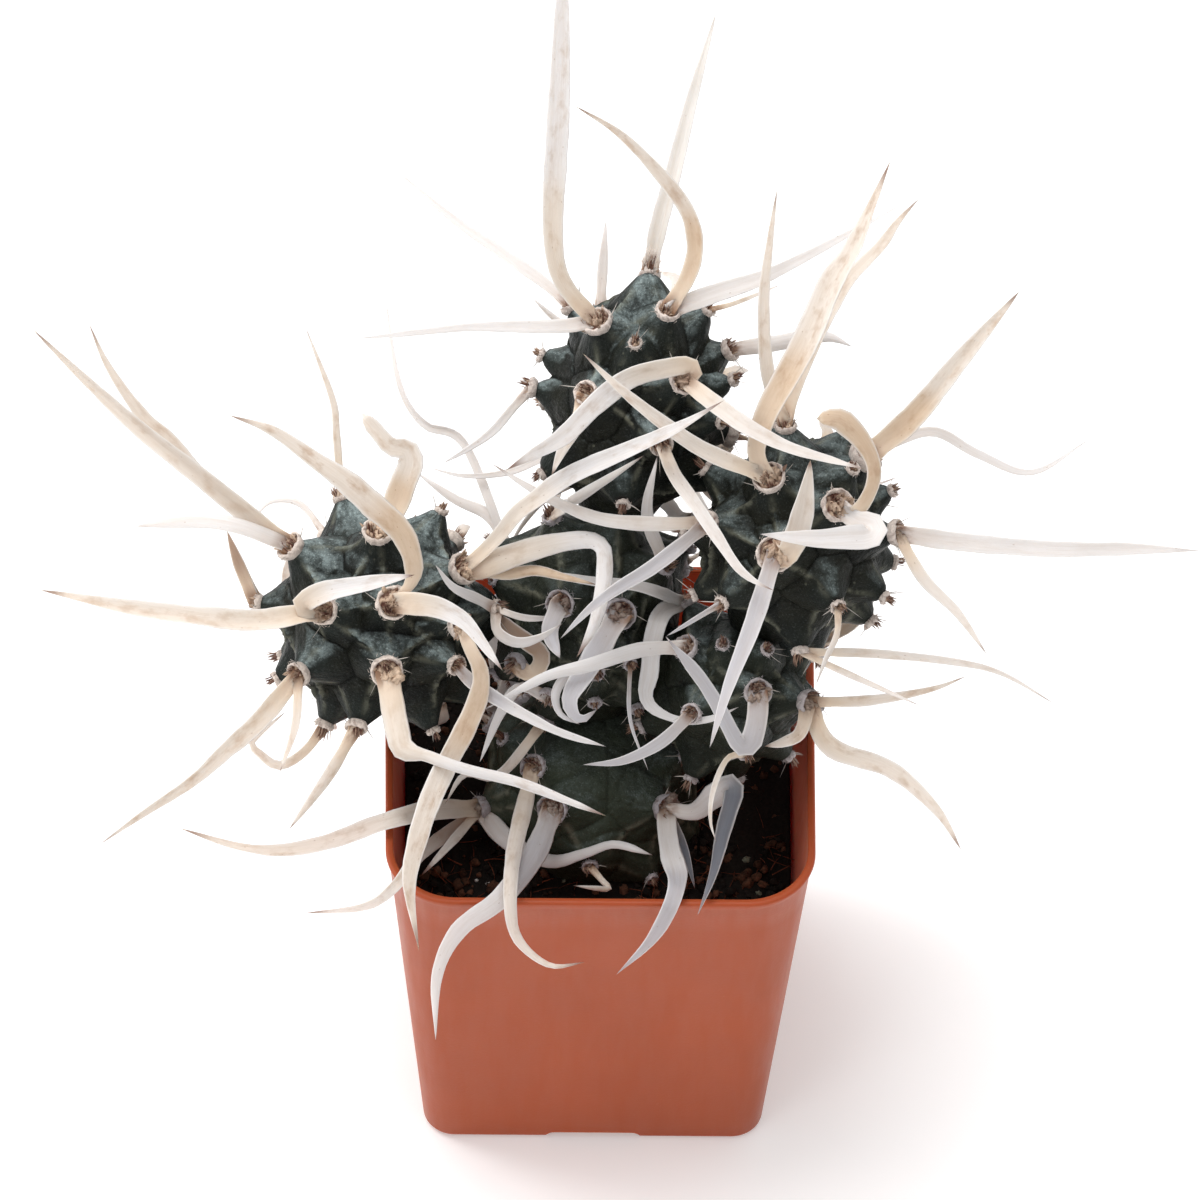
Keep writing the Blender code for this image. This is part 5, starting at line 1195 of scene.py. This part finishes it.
def blade_widths(spine, share, gone):
    """Nearly even width to past the middle, then a long point, with a waist above the root."""
    if spine["profile"]:
        return np.interp(share, *zip(*spine["profile"]))
    waist = 1.0 - 0.16 * np.exp(-((gone - 5.0) / 2.8) ** 2)
    taper = np.clip(1.0 - share ** 2.5, 0.0, 1.0) ** 0.9
    even = spine["width"] * 0.97 * waist * taper
    return np.minimum(even, 1.25 * spine_widths(spine, share) + 1.3 * np.exp(-gone / 3.0))


def blade_rings(spine, rng):
    """Centre, side and face directions, width and distance from the root at each ring."""
    coarse = from_view(spine["line"])
    length = float(np.linalg.norm(np.diff(coarse, axis=0), axis=1).sum())
    rings = int(np.clip(length / BLADE_STEP, 18, 64))
    line = smooth_route(coarse, rings + 1)
    tangent, side = ribbon_frames(spine, line)
    side = squared(smoothed(side, 4), tangent)
    face = np.cross(side, tangent)
    share = np.linspace(0.0, 1.0, rings + 1)
    gone = share * length
    twist = rng.uniform(-0.3, 0.3) + rng.uniform(-0.45, 0.45) * share
    c, s = np.cos(twist)[:, None], np.sin(twist)[:, None]
    side, face = c * side + s * face, c * face - s * side
    width = blade_widths(spine, share, gone) / np.cos(twist)
    return line, side, face, width, gone, share


def blade(heap, spine, rng):
    """One papery blade: flat and crisp, faintly channelled, thick and crumpled at its root."""
    line, side, face, width, gone, share = blade_rings(spine, rng)
    seed = rng.uniform(0.0, 90.0)
    wide = min(1.0, spine["width"] / 4.0)
    blunt = spine["profile"] is not None and spine["profile"][-1][1] > 0.0
    sign = 1.0 if rng.random() < 0.7 else -1.0
    cup, keel = sign * rng.uniform(*CUP), sign * rng.uniform(*KEEL)
    count = len(SECTION)
    rows, blades, fibres, tints = [], [], [], []
    spots = [(line[0] - spine["way"] * ROOT_SUNK, side[0], face[0], width[0] * 0.8, -ROOT_SUNK, 0.0)]
    spots += list(zip(line[:-1], side, face, width, gone, share))
    for centre, across, out, full, far, part in spots:
        ragged = noise.noise(Vector((far * 0.3, seed, 0.0)))
        half = 0.5 * max(full, 0.14) * (1.0 + 0.07 * ragged)
        near_root = math.exp(-max(far, 0.0) / 2.6)
        bowl = cup * (1.0 - near_root) + 0.5 * near_root * wide
        thick = (BLADE_THICK + 1.5 * wide * near_root) * min(1.0, half / 0.6)
        wave = 0.22 * half * noise.noise(Vector((far * 0.11, seed, 5.0)))
        middle = (bowl * SECTION ** 2 + keel * (1.0 - near_root) * abs(SECTION) - 0.4 * bowl) * half
        middle += wave * SECTION
        crumple = [noise.noise(Vector((far * 0.5, s * 1.3, seed))) for s in SECTION]
        middle += near_root * 0.8 * np.array(crumple)
        lift = SECTION_SIGN * 0.5 * thick * np.sqrt(1.0 - 0.95 * SECTION ** 4)
        lift[[0, len(TOP_SIDE) - 1]] = 0.0
        rows.append(centre + across * (SECTION * half)[:, None] + out * (middle + lift)[:, None])
        aged = part * (BLUNT_AGE if blunt else 1.0)
        blades.append(np.stack((np.full(count, aged), np.abs(SECTION), np.full(count, spine["tan"])), 1))
        fibres.append(np.stack((np.full(count, far), SECTION * half, np.full(count, seed)), 1))
        tints.append(np.tile(between(*spine["tints"], ease((part - 0.32) / 0.16)), (count, 1)))
    points = np.vstack(rows + [line[-1:]])
    blades = np.vstack(blades + [[(BLUNT_AGE if blunt else 1.0, 0.0, spine["tan"])]])
    fibres = np.vstack(fibres + [[(gone[-1], 0.0, seed)]])
    faces = tube_faces(len(rows), count)
    heap.add(points, faces, blade=blades, fibre=fibres, tint=np.vstack(tints + [tints[-1][:1]]))


def kept_in_solids(spine):
    """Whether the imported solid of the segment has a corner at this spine's tip."""
    corners = NODE_CORNERS[spine["segment"]]
    tip = from_view(spine["line"])[-1]
    return bool(np.min(np.linalg.norm(corners - tip, axis=1)) < TIP_MATCH)


def node_corners():
    result = {}
    for name in SEGMENTS:
        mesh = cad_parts[name].data
        rows = np.zeros(len(mesh.vertices) * 3)
        mesh.vertices.foreach_get("co", rows)
        result[name] = rows.reshape(-1, 3) / MM
    return result


def dress_spines(spines, rng):
    """Gives each spine its paper tone: ivory above and outside, white in the middle with grey-lilac painted
    shade.
    """
    for spine in spines:
        tip = spine["line"][-1]
        root = spine["line"][0]
        outer = float(np.clip((math.hypot(root[0], root[1] - 30.0) - 18.0) / 30.0, 0.0, 1.0))
        high = float(np.clip((tip[1] - 30.0) / 60.0, 0.0, 1.0))
        warm = float(np.clip(max(outer, high) + rng.uniform(-0.35, 0.25), 0.0, 1.0))
        # Painted shade: blades nearer the middle are mixed at random toward the grey-lilac paper.
        grey = rng.uniform(0.0, 0.55) * (1.0 - warm)
        white = (1.0 - grey) * np.array(PAPERS["white"]) + grey * np.array(PAPERS["lilac"])
        tint = (1.0 - warm) * white + warm * np.array(PAPERS["ivory"])
        if spine["far"] and spine["drawn"]:
            tint, warm = np.array(PAPERS["pale"]), 0.1
        far_tint = tint
        if spine["drawn"]:
            for place, words in TONES.items():
                if math.hypot(tip[0] - place[0], tip[1] - place[1]) < 0.5:
                    tint, far_tint = (np.array(PAPERS[word]) for word in (words.split() * 2)[:2])
                    warm = WARMTH.get(words.split()[0], 0.1)
        else:
            tint = far_tint = tint * rng.uniform(0.82, 1.0)
        bright = rng.uniform(0.94, 1.03)
        spine["tints"] = (tint * bright, far_tint * bright)
        spine["tan"] = warm


def ray_at(turn, a, b):
    """The direction at this turn from a toward b."""
    return math.cos(turn) * a + math.sin(turn) * b


def ring_points(centre, out, a, b, radius, thick, deep, rng):
    """A crumpled collar round an areole, and how far each lump swells."""
    around, through = COLLAR
    seed = rng.uniform(0.0, 50.0)
    rows, swell = [], []
    for k in range(around):
        turn = 2 * math.pi * k / around
        ray = ray_at(turn, a, b)
        place = (math.cos(turn) * 1.8, math.sin(turn) * 1.8)
        lump = 1.0 + 0.7 * noise.noise(Vector((*place, seed)))
        rim = 0.45 * noise.noise(Vector((3.0 * place[0], 3.0 * place[1], seed)))
        for m in range(through):
            roll = 2 * math.pi * m / through
            rough = noise.noise(Vector((turn * 4.0, roll * 1.4, seed)))
            size = thick * lump * (1.0 + 0.6 * rough)
            rise = deep * (math.sin(roll) - 0.55) + rim * max(math.sin(roll), 0.0)
            wide = radius + size * math.cos(roll) + 0.3 * min(rise, 0.0)
            rows.append(centre + ray * wide + out * rise)
            swell.append(rough)
    faces = []
    for k in range(around):
        for m in range(through):
            n, p = (k + 1) % around, (m + 1) % through
            faces.append((k * through + m, n * through + m, n * through + p, k * through + p))
    return rows, faces, np.array(swell)[:, None]


def cushion_points(centre, out, a, b, radius, high, rng):
    """A crumpled dome in the collar, and how far each lump swells."""
    loops, sides = DOME
    seed = rng.uniform(0.0, 50.0)
    rows, swell = [], []
    for k in range(loops):
        tilt = 0.5 * math.pi * k / loops
        for m in range(sides):
            turn = 2 * math.pi * m / sides
            ray = ray_at(turn, a, b)
            lump = noise.noise(Vector(ray * 2.6 * math.cos(tilt) + out * seed) * 1.7)
            rise = high * (0.1 + 0.8 * math.sin(tilt)) * (1.0 + 1.8 * lump) - 0.3
            rows.append(centre + ray * radius * math.cos(tilt) + out * rise)
            swell.append(lump)
    rows.append(centre + out * high)
    return rows, tube_faces(loops, sides), np.array(swell + [0.0])[:, None]


def between(low, high, share):
    return np.array(low) * (1.0 - share) + np.array(high) * share


def felt(wool, centre, way, a, b, size, pale, cream, rng):
    """The papery collar of an areole, the crumpled cup in it with painted shade, and the short wool round
    it.
    """
    thick, deep = 0.26 + 0.06 * size, 0.35 + 0.3 * size
    rows, faces, swell = ring_points(centre + way * 0.3, way, a, b, size * 0.95, thick, deep, rng)
    wool.add(rows, faces, tint=between(pale, WOOL_BROWN_AND_SHADE, np.clip(-0.1 - 1.5 * swell, 0.0, 1.0)))
    rows, faces, swell = cushion_points(centre, way, a, b, size * 0.85, 0.3 + 0.2 * size, rng)
    # The cushion's lower lumps turn brown: partly real brown wool, partly painted shade in the hollows of
    # the cup.
    wool.add(rows, faces, tint=between(WOOL_BROWN_AND_SHADE, cream, np.clip(0.25 + 3.0 * swell, 0.0, 1.0)))
    for k in range(HAIRS):
        turn = 2 * math.pi * (k + rng.random()) / HAIRS
        ray = ray_at(turn, a, b)
        start = centre + ray * size * rng.uniform(0.95, 1.15) - way * rng.uniform(0.0, 0.4)
        go = unit(way * rng.uniform(-0.5, 0.7) + ray * rng.uniform(0.2, 1.0)
                  + np.cross(way, ray) * rng.uniform(-1.2, 1.2))
        curl = (ray * rng.uniform(-0.7, 0.2) + np.cross(way, ray) * rng.uniform(-0.7, 0.7))
        hair(wool, start, go, rng.uniform(0.4, 1.0), 0.06, curl, pale * rng.uniform(0.8, 1.2))


def knob(tuft, centre, way, a, b, size, cream, rng):
    """The crumpled papery swelling where a broad spine leaves its areole."""
    for _ in range(KNOB_LUMPS):
        spot = centre + size * (b * rng.uniform(-0.1, 0.7) + a * rng.uniform(-0.5, 0.5))
        spot = spot + way * rng.uniform(0.1, 0.9)
        tint = between(WOOL_BROWN_AND_SHADE, cream, rng.uniform(0.45, 1.15))
        lump(tuft, spot, rng.uniform(0.3, 0.5) * size, rng.uniform(0.5, 0.9), 0.9, tint, rng, 2)


def scraps(tuft, centre, way, a, b, size, count, cream, rng):
    """Torn papery scales that stand in the collar."""
    for _ in range(count):
        turn = rng.uniform(-2.6, 2.6)
        ray = ray_at(turn, b, a)
        go = unit(ray * rng.uniform(0.1, 0.8) + way)
        tint = between(WOOL_BROWN_AND_SHADE, cream, rng.uniform(0.2, 1.1))
        hair(tuft, centre + ray * size * rng.uniform(0.3, 0.85), go, rng.uniform(0.5, 0.9) * size,
             rng.uniform(0.16, 0.3) * size, -0.25 * ray * rng.uniform(-0.5, 1.0), tint, 0.3, ray)


def brush(tuft, centre, way, a, b, size, long, rng):
    """The bundle of brown glochids on the side of the areole away from its spine."""
    for _ in range(GLOCHIDS):
        start = centre - b * size * rng.uniform(-0.1, 0.75) + a * size * rng.uniform(-0.45, 0.45)
        go = unit(way + 0.22 * a * rng.uniform(-1, 1) - 0.3 * b * rng.uniform(-0.4, 1.0))
        tint = between(GLOCHID, GLOCHID_TAN, rng.random() ** 1.5)
        hair(tuft, start, go, long * rng.uniform(0.55, 1.0), rng.uniform(0.12, 0.24),
             0.15 * a * rng.uniform(-1, 1), tint)


def crown(wool, centre, way, a, b, size, rng):
    """White fuzz that stands over the bristles of the topmost areole."""
    for _ in range(CROWN_HAIRS):
        start = centre + size * (a * rng.uniform(-0.8, 0.8) + b * rng.uniform(-0.6, 0.6)) + way * 1.5
        go = unit(way + 0.35 * a * rng.uniform(-1, 1) + 0.35 * b * rng.uniform(-1, 1))
        hair(wool, start, go, rng.uniform(1.5, CROWN_HIGH), 0.07, 0.4 * a * rng.uniform(-1, 1),
             np.array(WOOL_WARM) * rng.uniform(0.9, 1.15))


def build_areole(wool, tuft, info, way, leans, broad, pale, cream, rng):
    """Collar, cushion, scraps, glochids and a few bristles of one areole."""
    centre = tubercle_tip(info, way, -AREOLE_SUNK)
    if centre[2] < SOIL_TOP + 1.0:
        return
    down = unit(np.array((0.0, 0.0, -1.0)) - way * (way @ (0.0, 0.0, -1.0)) + 0.01)
    b = unit(leans - way * (leans @ way)) if leans is not None else down
    a = np.cross(way, b)
    size = rng.uniform(*AREOLE_VARIES) * max(AREOLE_SIZE, AREOLE_ROOM + AREOLE_GROWTH * broad)
    seen = to_view(centre)[0][:2]
    crowned = math.hypot(seen[0] - CROWN[0], seen[1] - CROWN[1]) < 1.5
    if crowned:
        size *= 0.75
        crown(wool, centre, way, a, b, size, rng)
    felt(wool, centre, way, a, b, size, pale * rng.uniform(0.8, 1.1), cream, rng)
    if broad > KNOB_FROM:
        knob(tuft, centre, way, a, b, size, cream, rng)
    scraps(tuft, centre, way, a, b, size, SCRAPS[leans is not None], cream, rng)
    brush(tuft, centre, way, a, b, size, CROWN_HIGH if crowned else rng.uniform(2.2, 3.8), rng)
    for _ in range(rng.randint(1, 4)):
        turn = rng.uniform(0.0, 2 * math.pi)
        ray = ray_at(turn, a, b)
        go = unit(ray + way * rng.uniform(0.2, 0.9) + 0.5 * b)
        hair(tuft, centre + ray * size * 0.9, go, rng.uniform(2.0, 4.6), rng.uniform(0.07, 0.14),
             0.12 * way * rng.uniform(-1, 1), np.array(BRISTLE) * rng.uniform(0.6, 1.05))


def spine_start(spine):
    """The way a spine leaves its areole."""
    line = from_view(spine["line"])
    return unit(line[3] - line[0])


def build_areoles(name, info, ways, spines, looks):
    rng = random.Random(name + "areoles")
    wool, tuft = Heap(), Heap()
    # Painted shade: areoles on the deeper segments are painted greyer and duskier.
    dull = min(1.0, 1.6 * PAINTED_SEGMENT_SHADE.get(name, 0.0))
    wool_shade, cup_shade = (0.15, 0.1) if name == RIGHT_TOP else (dull, 0.75 * dull)
    pale = between(WOOL_WARM, WOOL_IN_SHADE, wool_shade)
    cream = between(WOOL_CREAM, CUP_IN_SHADE, cup_shade)
    for way in ways:
        near = [spine for spine in spines if spine["way"] @ way > 0.999]
        widest = max(near, key=lambda s: s["width"]) if near else None
        leans = spine_start(widest) if near else None
        broad = widest["width"] if near else 0.0
        build_areole(wool, tuft, info, way, leans, broad, pale, cream, rng)
    wool.build("wool_" + name.removeprefix(PREFIX), looks["wool"], "areole_wool")
    tuft.build("tufts_" + name.removeprefix(PREFIX), looks["tuft"], "paper_spine")


def build_plant(looks):
    """Skins, spines and areoles of every segment."""
    areoles = gather_areoles()
    spines = drawn_spines(areoles) + hidden_spines(areoles, random.Random(31))
    settle(spines, ROUNDS)
    spines = [s for s in spines if s["drawn"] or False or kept_in_solids(s)]
    rng = random.Random(7)
    dress_spines(spines, rng)
    for name, info in SEGMENTS.items():
        ways = areoles[name][0] + areoles[name][1]
        build_skin(name, info, ways, looks["skin"])
        mine = [spine for spine in spines if spine["segment"] == name]
        heap = Heap()
        for spine in mine:
            blade(heap, spine, rng)
        heap.build("spines_" + name.removeprefix(PREFIX), looks["spine"], "paper_spine")
        build_areoles(name, info, ways, mine, looks)


def loft(name, sections):
    """A closed solid through equal loops, capped at both ends."""
    bm = bmesh.new()
    loops = [[bm.verts.new(Vector(p) * MM) for p in section] for section in sections]
    for low, high in zip(loops, loops[1:]):
        for k in range(len(low)):
            n = (k + 1) % len(low)
            bm.faces.new((low[k], low[n], high[n], high[k]))
    bm.faces.new(loops[0][::-1])
    bm.faces.new(loops[-1])
    bmesh.ops.recalc_face_normals(bm, faces=bm.faces[:])
    mesh = bpy.data.meshes.new(name)
    bm.to_mesh(mesh)
    bm.free()
    return mesh


def pot_loop(z, inset=0.0, steps=CORNER_STEPS):
    """The outline of the pot at this height, moved inward by the inset."""
    return rounded_square(pot_half(z) - inset, corner_at(z) - inset, z, steps)


def quarter(steps, first=0):
    """The angles of a quarter turn in even steps."""
    return [math.pi / 2 * k / steps for k in range(first, steps + 1)]


def pot_sections():
    """Up the outside from the foot to the rolled lip, then down the inside to the floor."""
    sections = []
    for turn in quarter(6):
        z = FOOT_FILLET * (1.0 - math.cos(turn))
        sections.append(pot_loop(z, FOOT_FILLET * (1.0 - math.sin(turn))))
    lip = POT_HEIGHT - LIP_HEIGHT
    sections += [pot_loop(z) for z in np.linspace(8.0, lip, 10)]
    sections += [pot_loop(lip + LIP_ROUND * k / 3, -LIP_OUT * k / 3) for k in range(1, 4)]
    for turn in quarter(5):
        inset = LIP_ROUND * (1.0 - math.cos(turn))
        z = POT_HEIGHT - LIP_ROUND * (1.0 - math.sin(turn))
        sections.append(rounded_square(RIM_HALF + LIP_OUT - inset, RIM_CORNER - inset, z, CORNER_STEPS))
    for turn in quarter(4, 1):
        inset = WALL - INNER_ROUND + INNER_ROUND * math.sin(turn)
        z = POT_HEIGHT - 0.4 * (1.0 - math.cos(turn))
        sections.append(rounded_square(RIM_HALF - inset, RIM_CORNER - inset, z, CORNER_STEPS))
    sections += [pot_loop(z, WALL) for z in (70.0, 40.0, FLOOR_TOP + 1.5)]
    sections.append(rounded_square(pot_half(0) - WALL - 1.0, corner_at(0) - WALL, FLOOR_TOP, CORNER_STEPS))
    return sections


def on_side(index, away, across, z):
    """A point near one of the four sides, so far out from the middle and so far along the side."""
    turn = index * math.pi / 2
    return (away * math.cos(turn) - across * math.sin(turn),
            away * math.sin(turn) + across * math.cos(turn), z)


def notch_sections(index):
    """A round-topped channel from the middle of one side of the foot inward."""
    half = NOTCH_WIDTH / 2
    arc = [(half - NOTCH_ROUND + NOTCH_ROUND * math.cos(turn), 0.5 + (NOTCH_HEIGHT - 0.5) * math.sin(turn))
           for turn in quarter(6)]
    profile = [(-half - 0.4, -1.0), (half + 0.4, -1.0), (half, 0.3), *arc]
    profile += [(-across, z) for across, z in reversed(arc)] + [(-half, 0.3)]
    return [[on_side(index, away, across, z) for across, z in profile]
            for away in (FOOT_HALF + 3.0, FOOT_HALF - NOTCH_DEPTH)]


def drain_sections(index):
    """An upright round hole behind the end of the notch."""
    sections = []
    for z in (-1.0, FLOOR_TOP + 2.0):
        x, y, _ = on_side(index, FOOT_HALF - NOTCH_DEPTH + DRAIN_BEHIND, 0.0, z)
        sections.append([(x + DRAIN_RADIUS * math.cos(a), y + DRAIN_RADIUS * math.sin(a), z)
                         for a in np.linspace(0, 2 * math.pi, 32, endpoint=False)])
    return sections


def build_pot(look):
    """The moulded pot with its drain notches and holes cut out."""
    pot = shown("moulded_pot", loft("moulded_pot", pot_sections()))
    for index in range(4):
        for sections in (notch_sections(index), drain_sections(index)):
            tool = shown("cutter", loft("cutter", sections))
            step = pot.modifiers.new("cut", "BOOLEAN")
            step.operation = "DIFFERENCE"
            step.solver = "EXACT"
            step.object = tool
            graph = bpy.context.evaluated_depsgraph_get()
            mesh = bpy.data.meshes.new_from_object(pot.evaluated_get(graph))
            pot.modifiers.clear()
            pot.data = mesh
            bpy.data.objects.remove(tool, do_unlink=True)
    pot.data.materials.clear()
    pot.data.materials.append(look)
    pot.data.shade_smooth()
    pot.data.set_sharp_from_angle(angle=SHARP_ANGLE)
    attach(pot, "root")
    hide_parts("pot")


def soil_height(x, y):
    """Gentle mounds of the peat surface."""
    broad = 0.9 * math.sin(0.11 * x + 0.7) * math.cos(0.13 * y - 0.4)
    return SOIL_TOP + (broad + 0.5 * math.sin(0.31 * x - 0.23 * y))


def crumb_height(x, y):
    """The peat surface with its fine crumbs."""
    crumbs = noise.fractal(Vector((x * 0.22, y * 0.22, 3.0)), 0.7, 2.1, 6)
    return soil_height(x, y) + 0.9 * crumbs


def lump(heap, centre, size, squash, rough, tint, rng, detail=1):
    """One crumb or stone: a ball pressed flat and broken up."""
    bm = bmesh.new()
    bmesh.ops.create_icosphere(bm, subdivisions=detail + 1, radius=1.0)
    seed = Vector([rng.uniform(-40, 40) for _ in range(3)])
    turn = np.array([unit([rng.gauss(0, 1) for _ in range(3)]) for _ in range(2)])
    a = turn[0]
    b = unit(turn[1] - (turn[1] @ a) * a)
    c = np.cross(a, b)
    rows = []
    for vert in bm.verts:
        broad = rough * noise.noise(vert.co * 1.6 + seed)
        swell = 1.0 + broad + 0.4 * rough * noise.noise(vert.co * 4 + seed)
        spot = np.array(vert.co) * swell * size
        rows.append(centre + a * spot[0] + b * spot[1] * squash + c * spot[2] * 0.8)
    faces = [tuple(v.index for v in face.verts) for face in bm.faces]
    bm.free()
    heap.add(rows, faces, tint=tint)


def on_soil(rng, margin):
    """A random place on the open peat, clear of the wall and of the stem."""
    side = pot_half(SOIL_TOP) - WALL - margin
    stem = SEGMENTS[BASE]["middle"][0]
    while True:
        x, y = rng.uniform(-side, side), rng.uniform(-side, side)
        if abs(x) + abs(y) < 2 * side - 9.0 and math.hypot(x - stem, y) > STEM_ROOM:
            return x, y


def build_soil(looks):
    """Crumbly peat with loose crumbs, reddish fibres, small stones and white grit."""
    rng = random.Random(5)
    inset = WALL + GAP
    sections = [pot_loop(z, inset, SOIL_STEPS) for z in (FLOOR_TOP + GAP, 40.0, SOIL_TOP - 3.0)]
    side = pot_half(SOIL_TOP) - inset
    corner = corner_at(SOIL_TOP) - inset
    for scale in np.linspace(0.985, 0.03, SOIL_RINGS):
        ring = rounded_square(side * scale, corner * scale, 0.0, SOIL_STEPS)
        sections.append([(p[0], p[1], crumb_height(p[0], p[1])) for p in ring])
    heap = Heap()
    count = len(sections[0])
    points = [tuple(p) for section in sections for p in section]
    faces = band_faces(len(sections), count)
    faces.append(tuple(range(count - 1, -1, -1)))
    faces.append(tuple(range((len(sections) - 1) * count, len(sections) * count)))
    shade = np.array([0.7 + 0.9 * abs(noise.noise(Vector(p) * 0.4)) for p in points])
    heap.add(points, faces, tint=np.array(PEAT_DARK) * shade[:, None])
    for _ in range(CRUMBS):
        x, y = on_soil(rng, 2.0)
        size = rng.uniform(0.35, 1.25) ** 1.4
        base = PEAT_DARK if rng.random() < 0.62 else PEAT_BROWN
        tint = np.array(base) * rng.uniform(0.6, 1.7)
        centre = np.array((x, y, crumb_height(x, y) + 0.25 * size))
        lump(heap, centre, size, rng.uniform(0.5, 0.95), 0.7, tint, rng)
    peat = heap.build("peat_surface", looks["peat"], "peat")
    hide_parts("soil")
    build_fibres(looks["peat"], rng)
    build_grit(looks["grit"], rng)


def build_fibres(look, rng):
    """Reddish-brown root and bark fibres that lie on the peat."""
    heap = Heap()
    for _ in range(FIBRES):
        x, y = on_soil(rng, 4.0)
        turn = rng.uniform(0, 2 * math.pi)
        way = unit((math.cos(turn), math.sin(turn), rng.uniform(-0.05, 0.35)))
        bend = 0.5 * np.array((-way[1], way[0], rng.uniform(-0.4, 0.1))) * rng.uniform(-1, 1)
        start = np.array((x, y, crumb_height(x, y) + 0.25))
        tint = np.array(FIBRE_RED) * rng.uniform(0.5, 1.6)
        hair(heap, start, way, rng.uniform(2.0, 6.5), rng.uniform(0.08, 0.2), bend, tint)
    heap.build("peat_fibres", look, "peat")


def build_grit(look, rng):
    """The few small stones of the solids, plus perlite and small grit."""
    heap = Heap()
    for x, y, size in STONES:
        tint = np.array(STONE_GREY) * rng.uniform(0.8, 1.2)
        lump(heap, np.array((x, y, SOIL_TOP + 0.45 * size)), size, 0.75, 0.35, tint, rng, 3)
    for _ in range(GRIT):
        x, y = on_soil(rng, 3.5)
        size = rng.uniform(0.4, 1.1)
        tint = np.array(STONE_GREY if rng.random() < 0.7 else PERLITE) * rng.uniform(0.6, 1.2)
        lump(heap, np.array((x, y, crumb_height(x, y) + 0.3 * size)), size, 0.8, 0.5, tint, rng, 2)
    heap.build("grit", look, "stone_grit")


def build_floor():
    mesh = bpy.data.meshes.new("floor")
    size = FLOOR_SIZE
    mesh.from_pydata([(-size, -size, 0), (size, -size, 0), (size, size, 0), (-size, size, 0)], [],
                     [(0, 1, 2, 3)])
    mesh.materials.append(floor_shader())
    floor = shown("floor", mesh)
    floor.location.z = -FLOOR_DROP


def build_light():
    """A white tent with one broad soft lamp above, one at the left and a weak one in front."""
    world = bpy.data.worlds.new("tent")
    world.use_nodes = True
    world.node_tree.nodes["Background"].inputs["Color"].default_value = (1.0, 1.0, 1.0, 1.0)
    world.node_tree.nodes["Background"].inputs["Strength"].default_value = TENT_STRENGTH
    bpy.context.scene.world = world
    for name, (place, aim, width, power) in LAMPS.items():
        data = bpy.data.lights.new(name, "AREA")
        data.shape, data.size, data.energy = "DISK", width, power
        lamp = shown(name, data)
        lamp.location = place
        toward = Vector((0.0, 0.0, aim)) - lamp.location
        lamp.rotation_euler = toward.to_track_quat("-Z", "Y").to_euler()


def build_camera():
    """Looks down on the plant as the photograph does, from far away."""
    target = (RIM_MIDDLE + UPWARD * VIEW_CENTRE) * MM
    data = bpy.data.cameras.new("camera")
    data.sensor_width = SENSOR
    data.lens = SENSOR * VIEW_DISTANCE / VIEW_WIDTH
    data.clip_end = 5.0 * VIEW_DISTANCE
    camera = shown("camera", data)
    matrix = [[RIGHT[k], UPWARD[k], NEARER[k], target[k] + NEARER[k] * VIEW_DISTANCE] for k in range(3)]
    camera.matrix_world = Matrix(matrix + [[0.0, 0.0, 0.0, 1.0]])
    bpy.context.scene.camera = camera


def build_looks():
    wool = tinted_shader("areole_wool", 2500.0, 0.3, Roughness=0.9, Sheen_Weight=0.25)
    tuft = tinted_shader("glochids", 3000.0, 0.3, Roughness=0.45)
    peat = tinted_shader("peat", 1500.0, 0.6, Roughness=0.95, Specular_IOR_Level=0.2)
    grit = tinted_shader("grit", 900.0, 0.4, Roughness=0.75)
    return dict(skin=skin_shader(), spine=spine_shader(), wool=wool, tuft=tuft, peat=peat, grit=grit,
                pot=pot_shader())


# Blender's vector noise takes its offsets from the clock unless it is given a seed.
noise.seed_set(WARP_SEED)
NODE_CORNERS = node_corners()
LOOKS = build_looks()
build_floor()
build_light()
build_camera()
build_pot(LOOKS["pot"])
build_soil(LOOKS)
build_plant(LOOKS)
bpy.context.scene.view_settings.view_transform = "Standard"
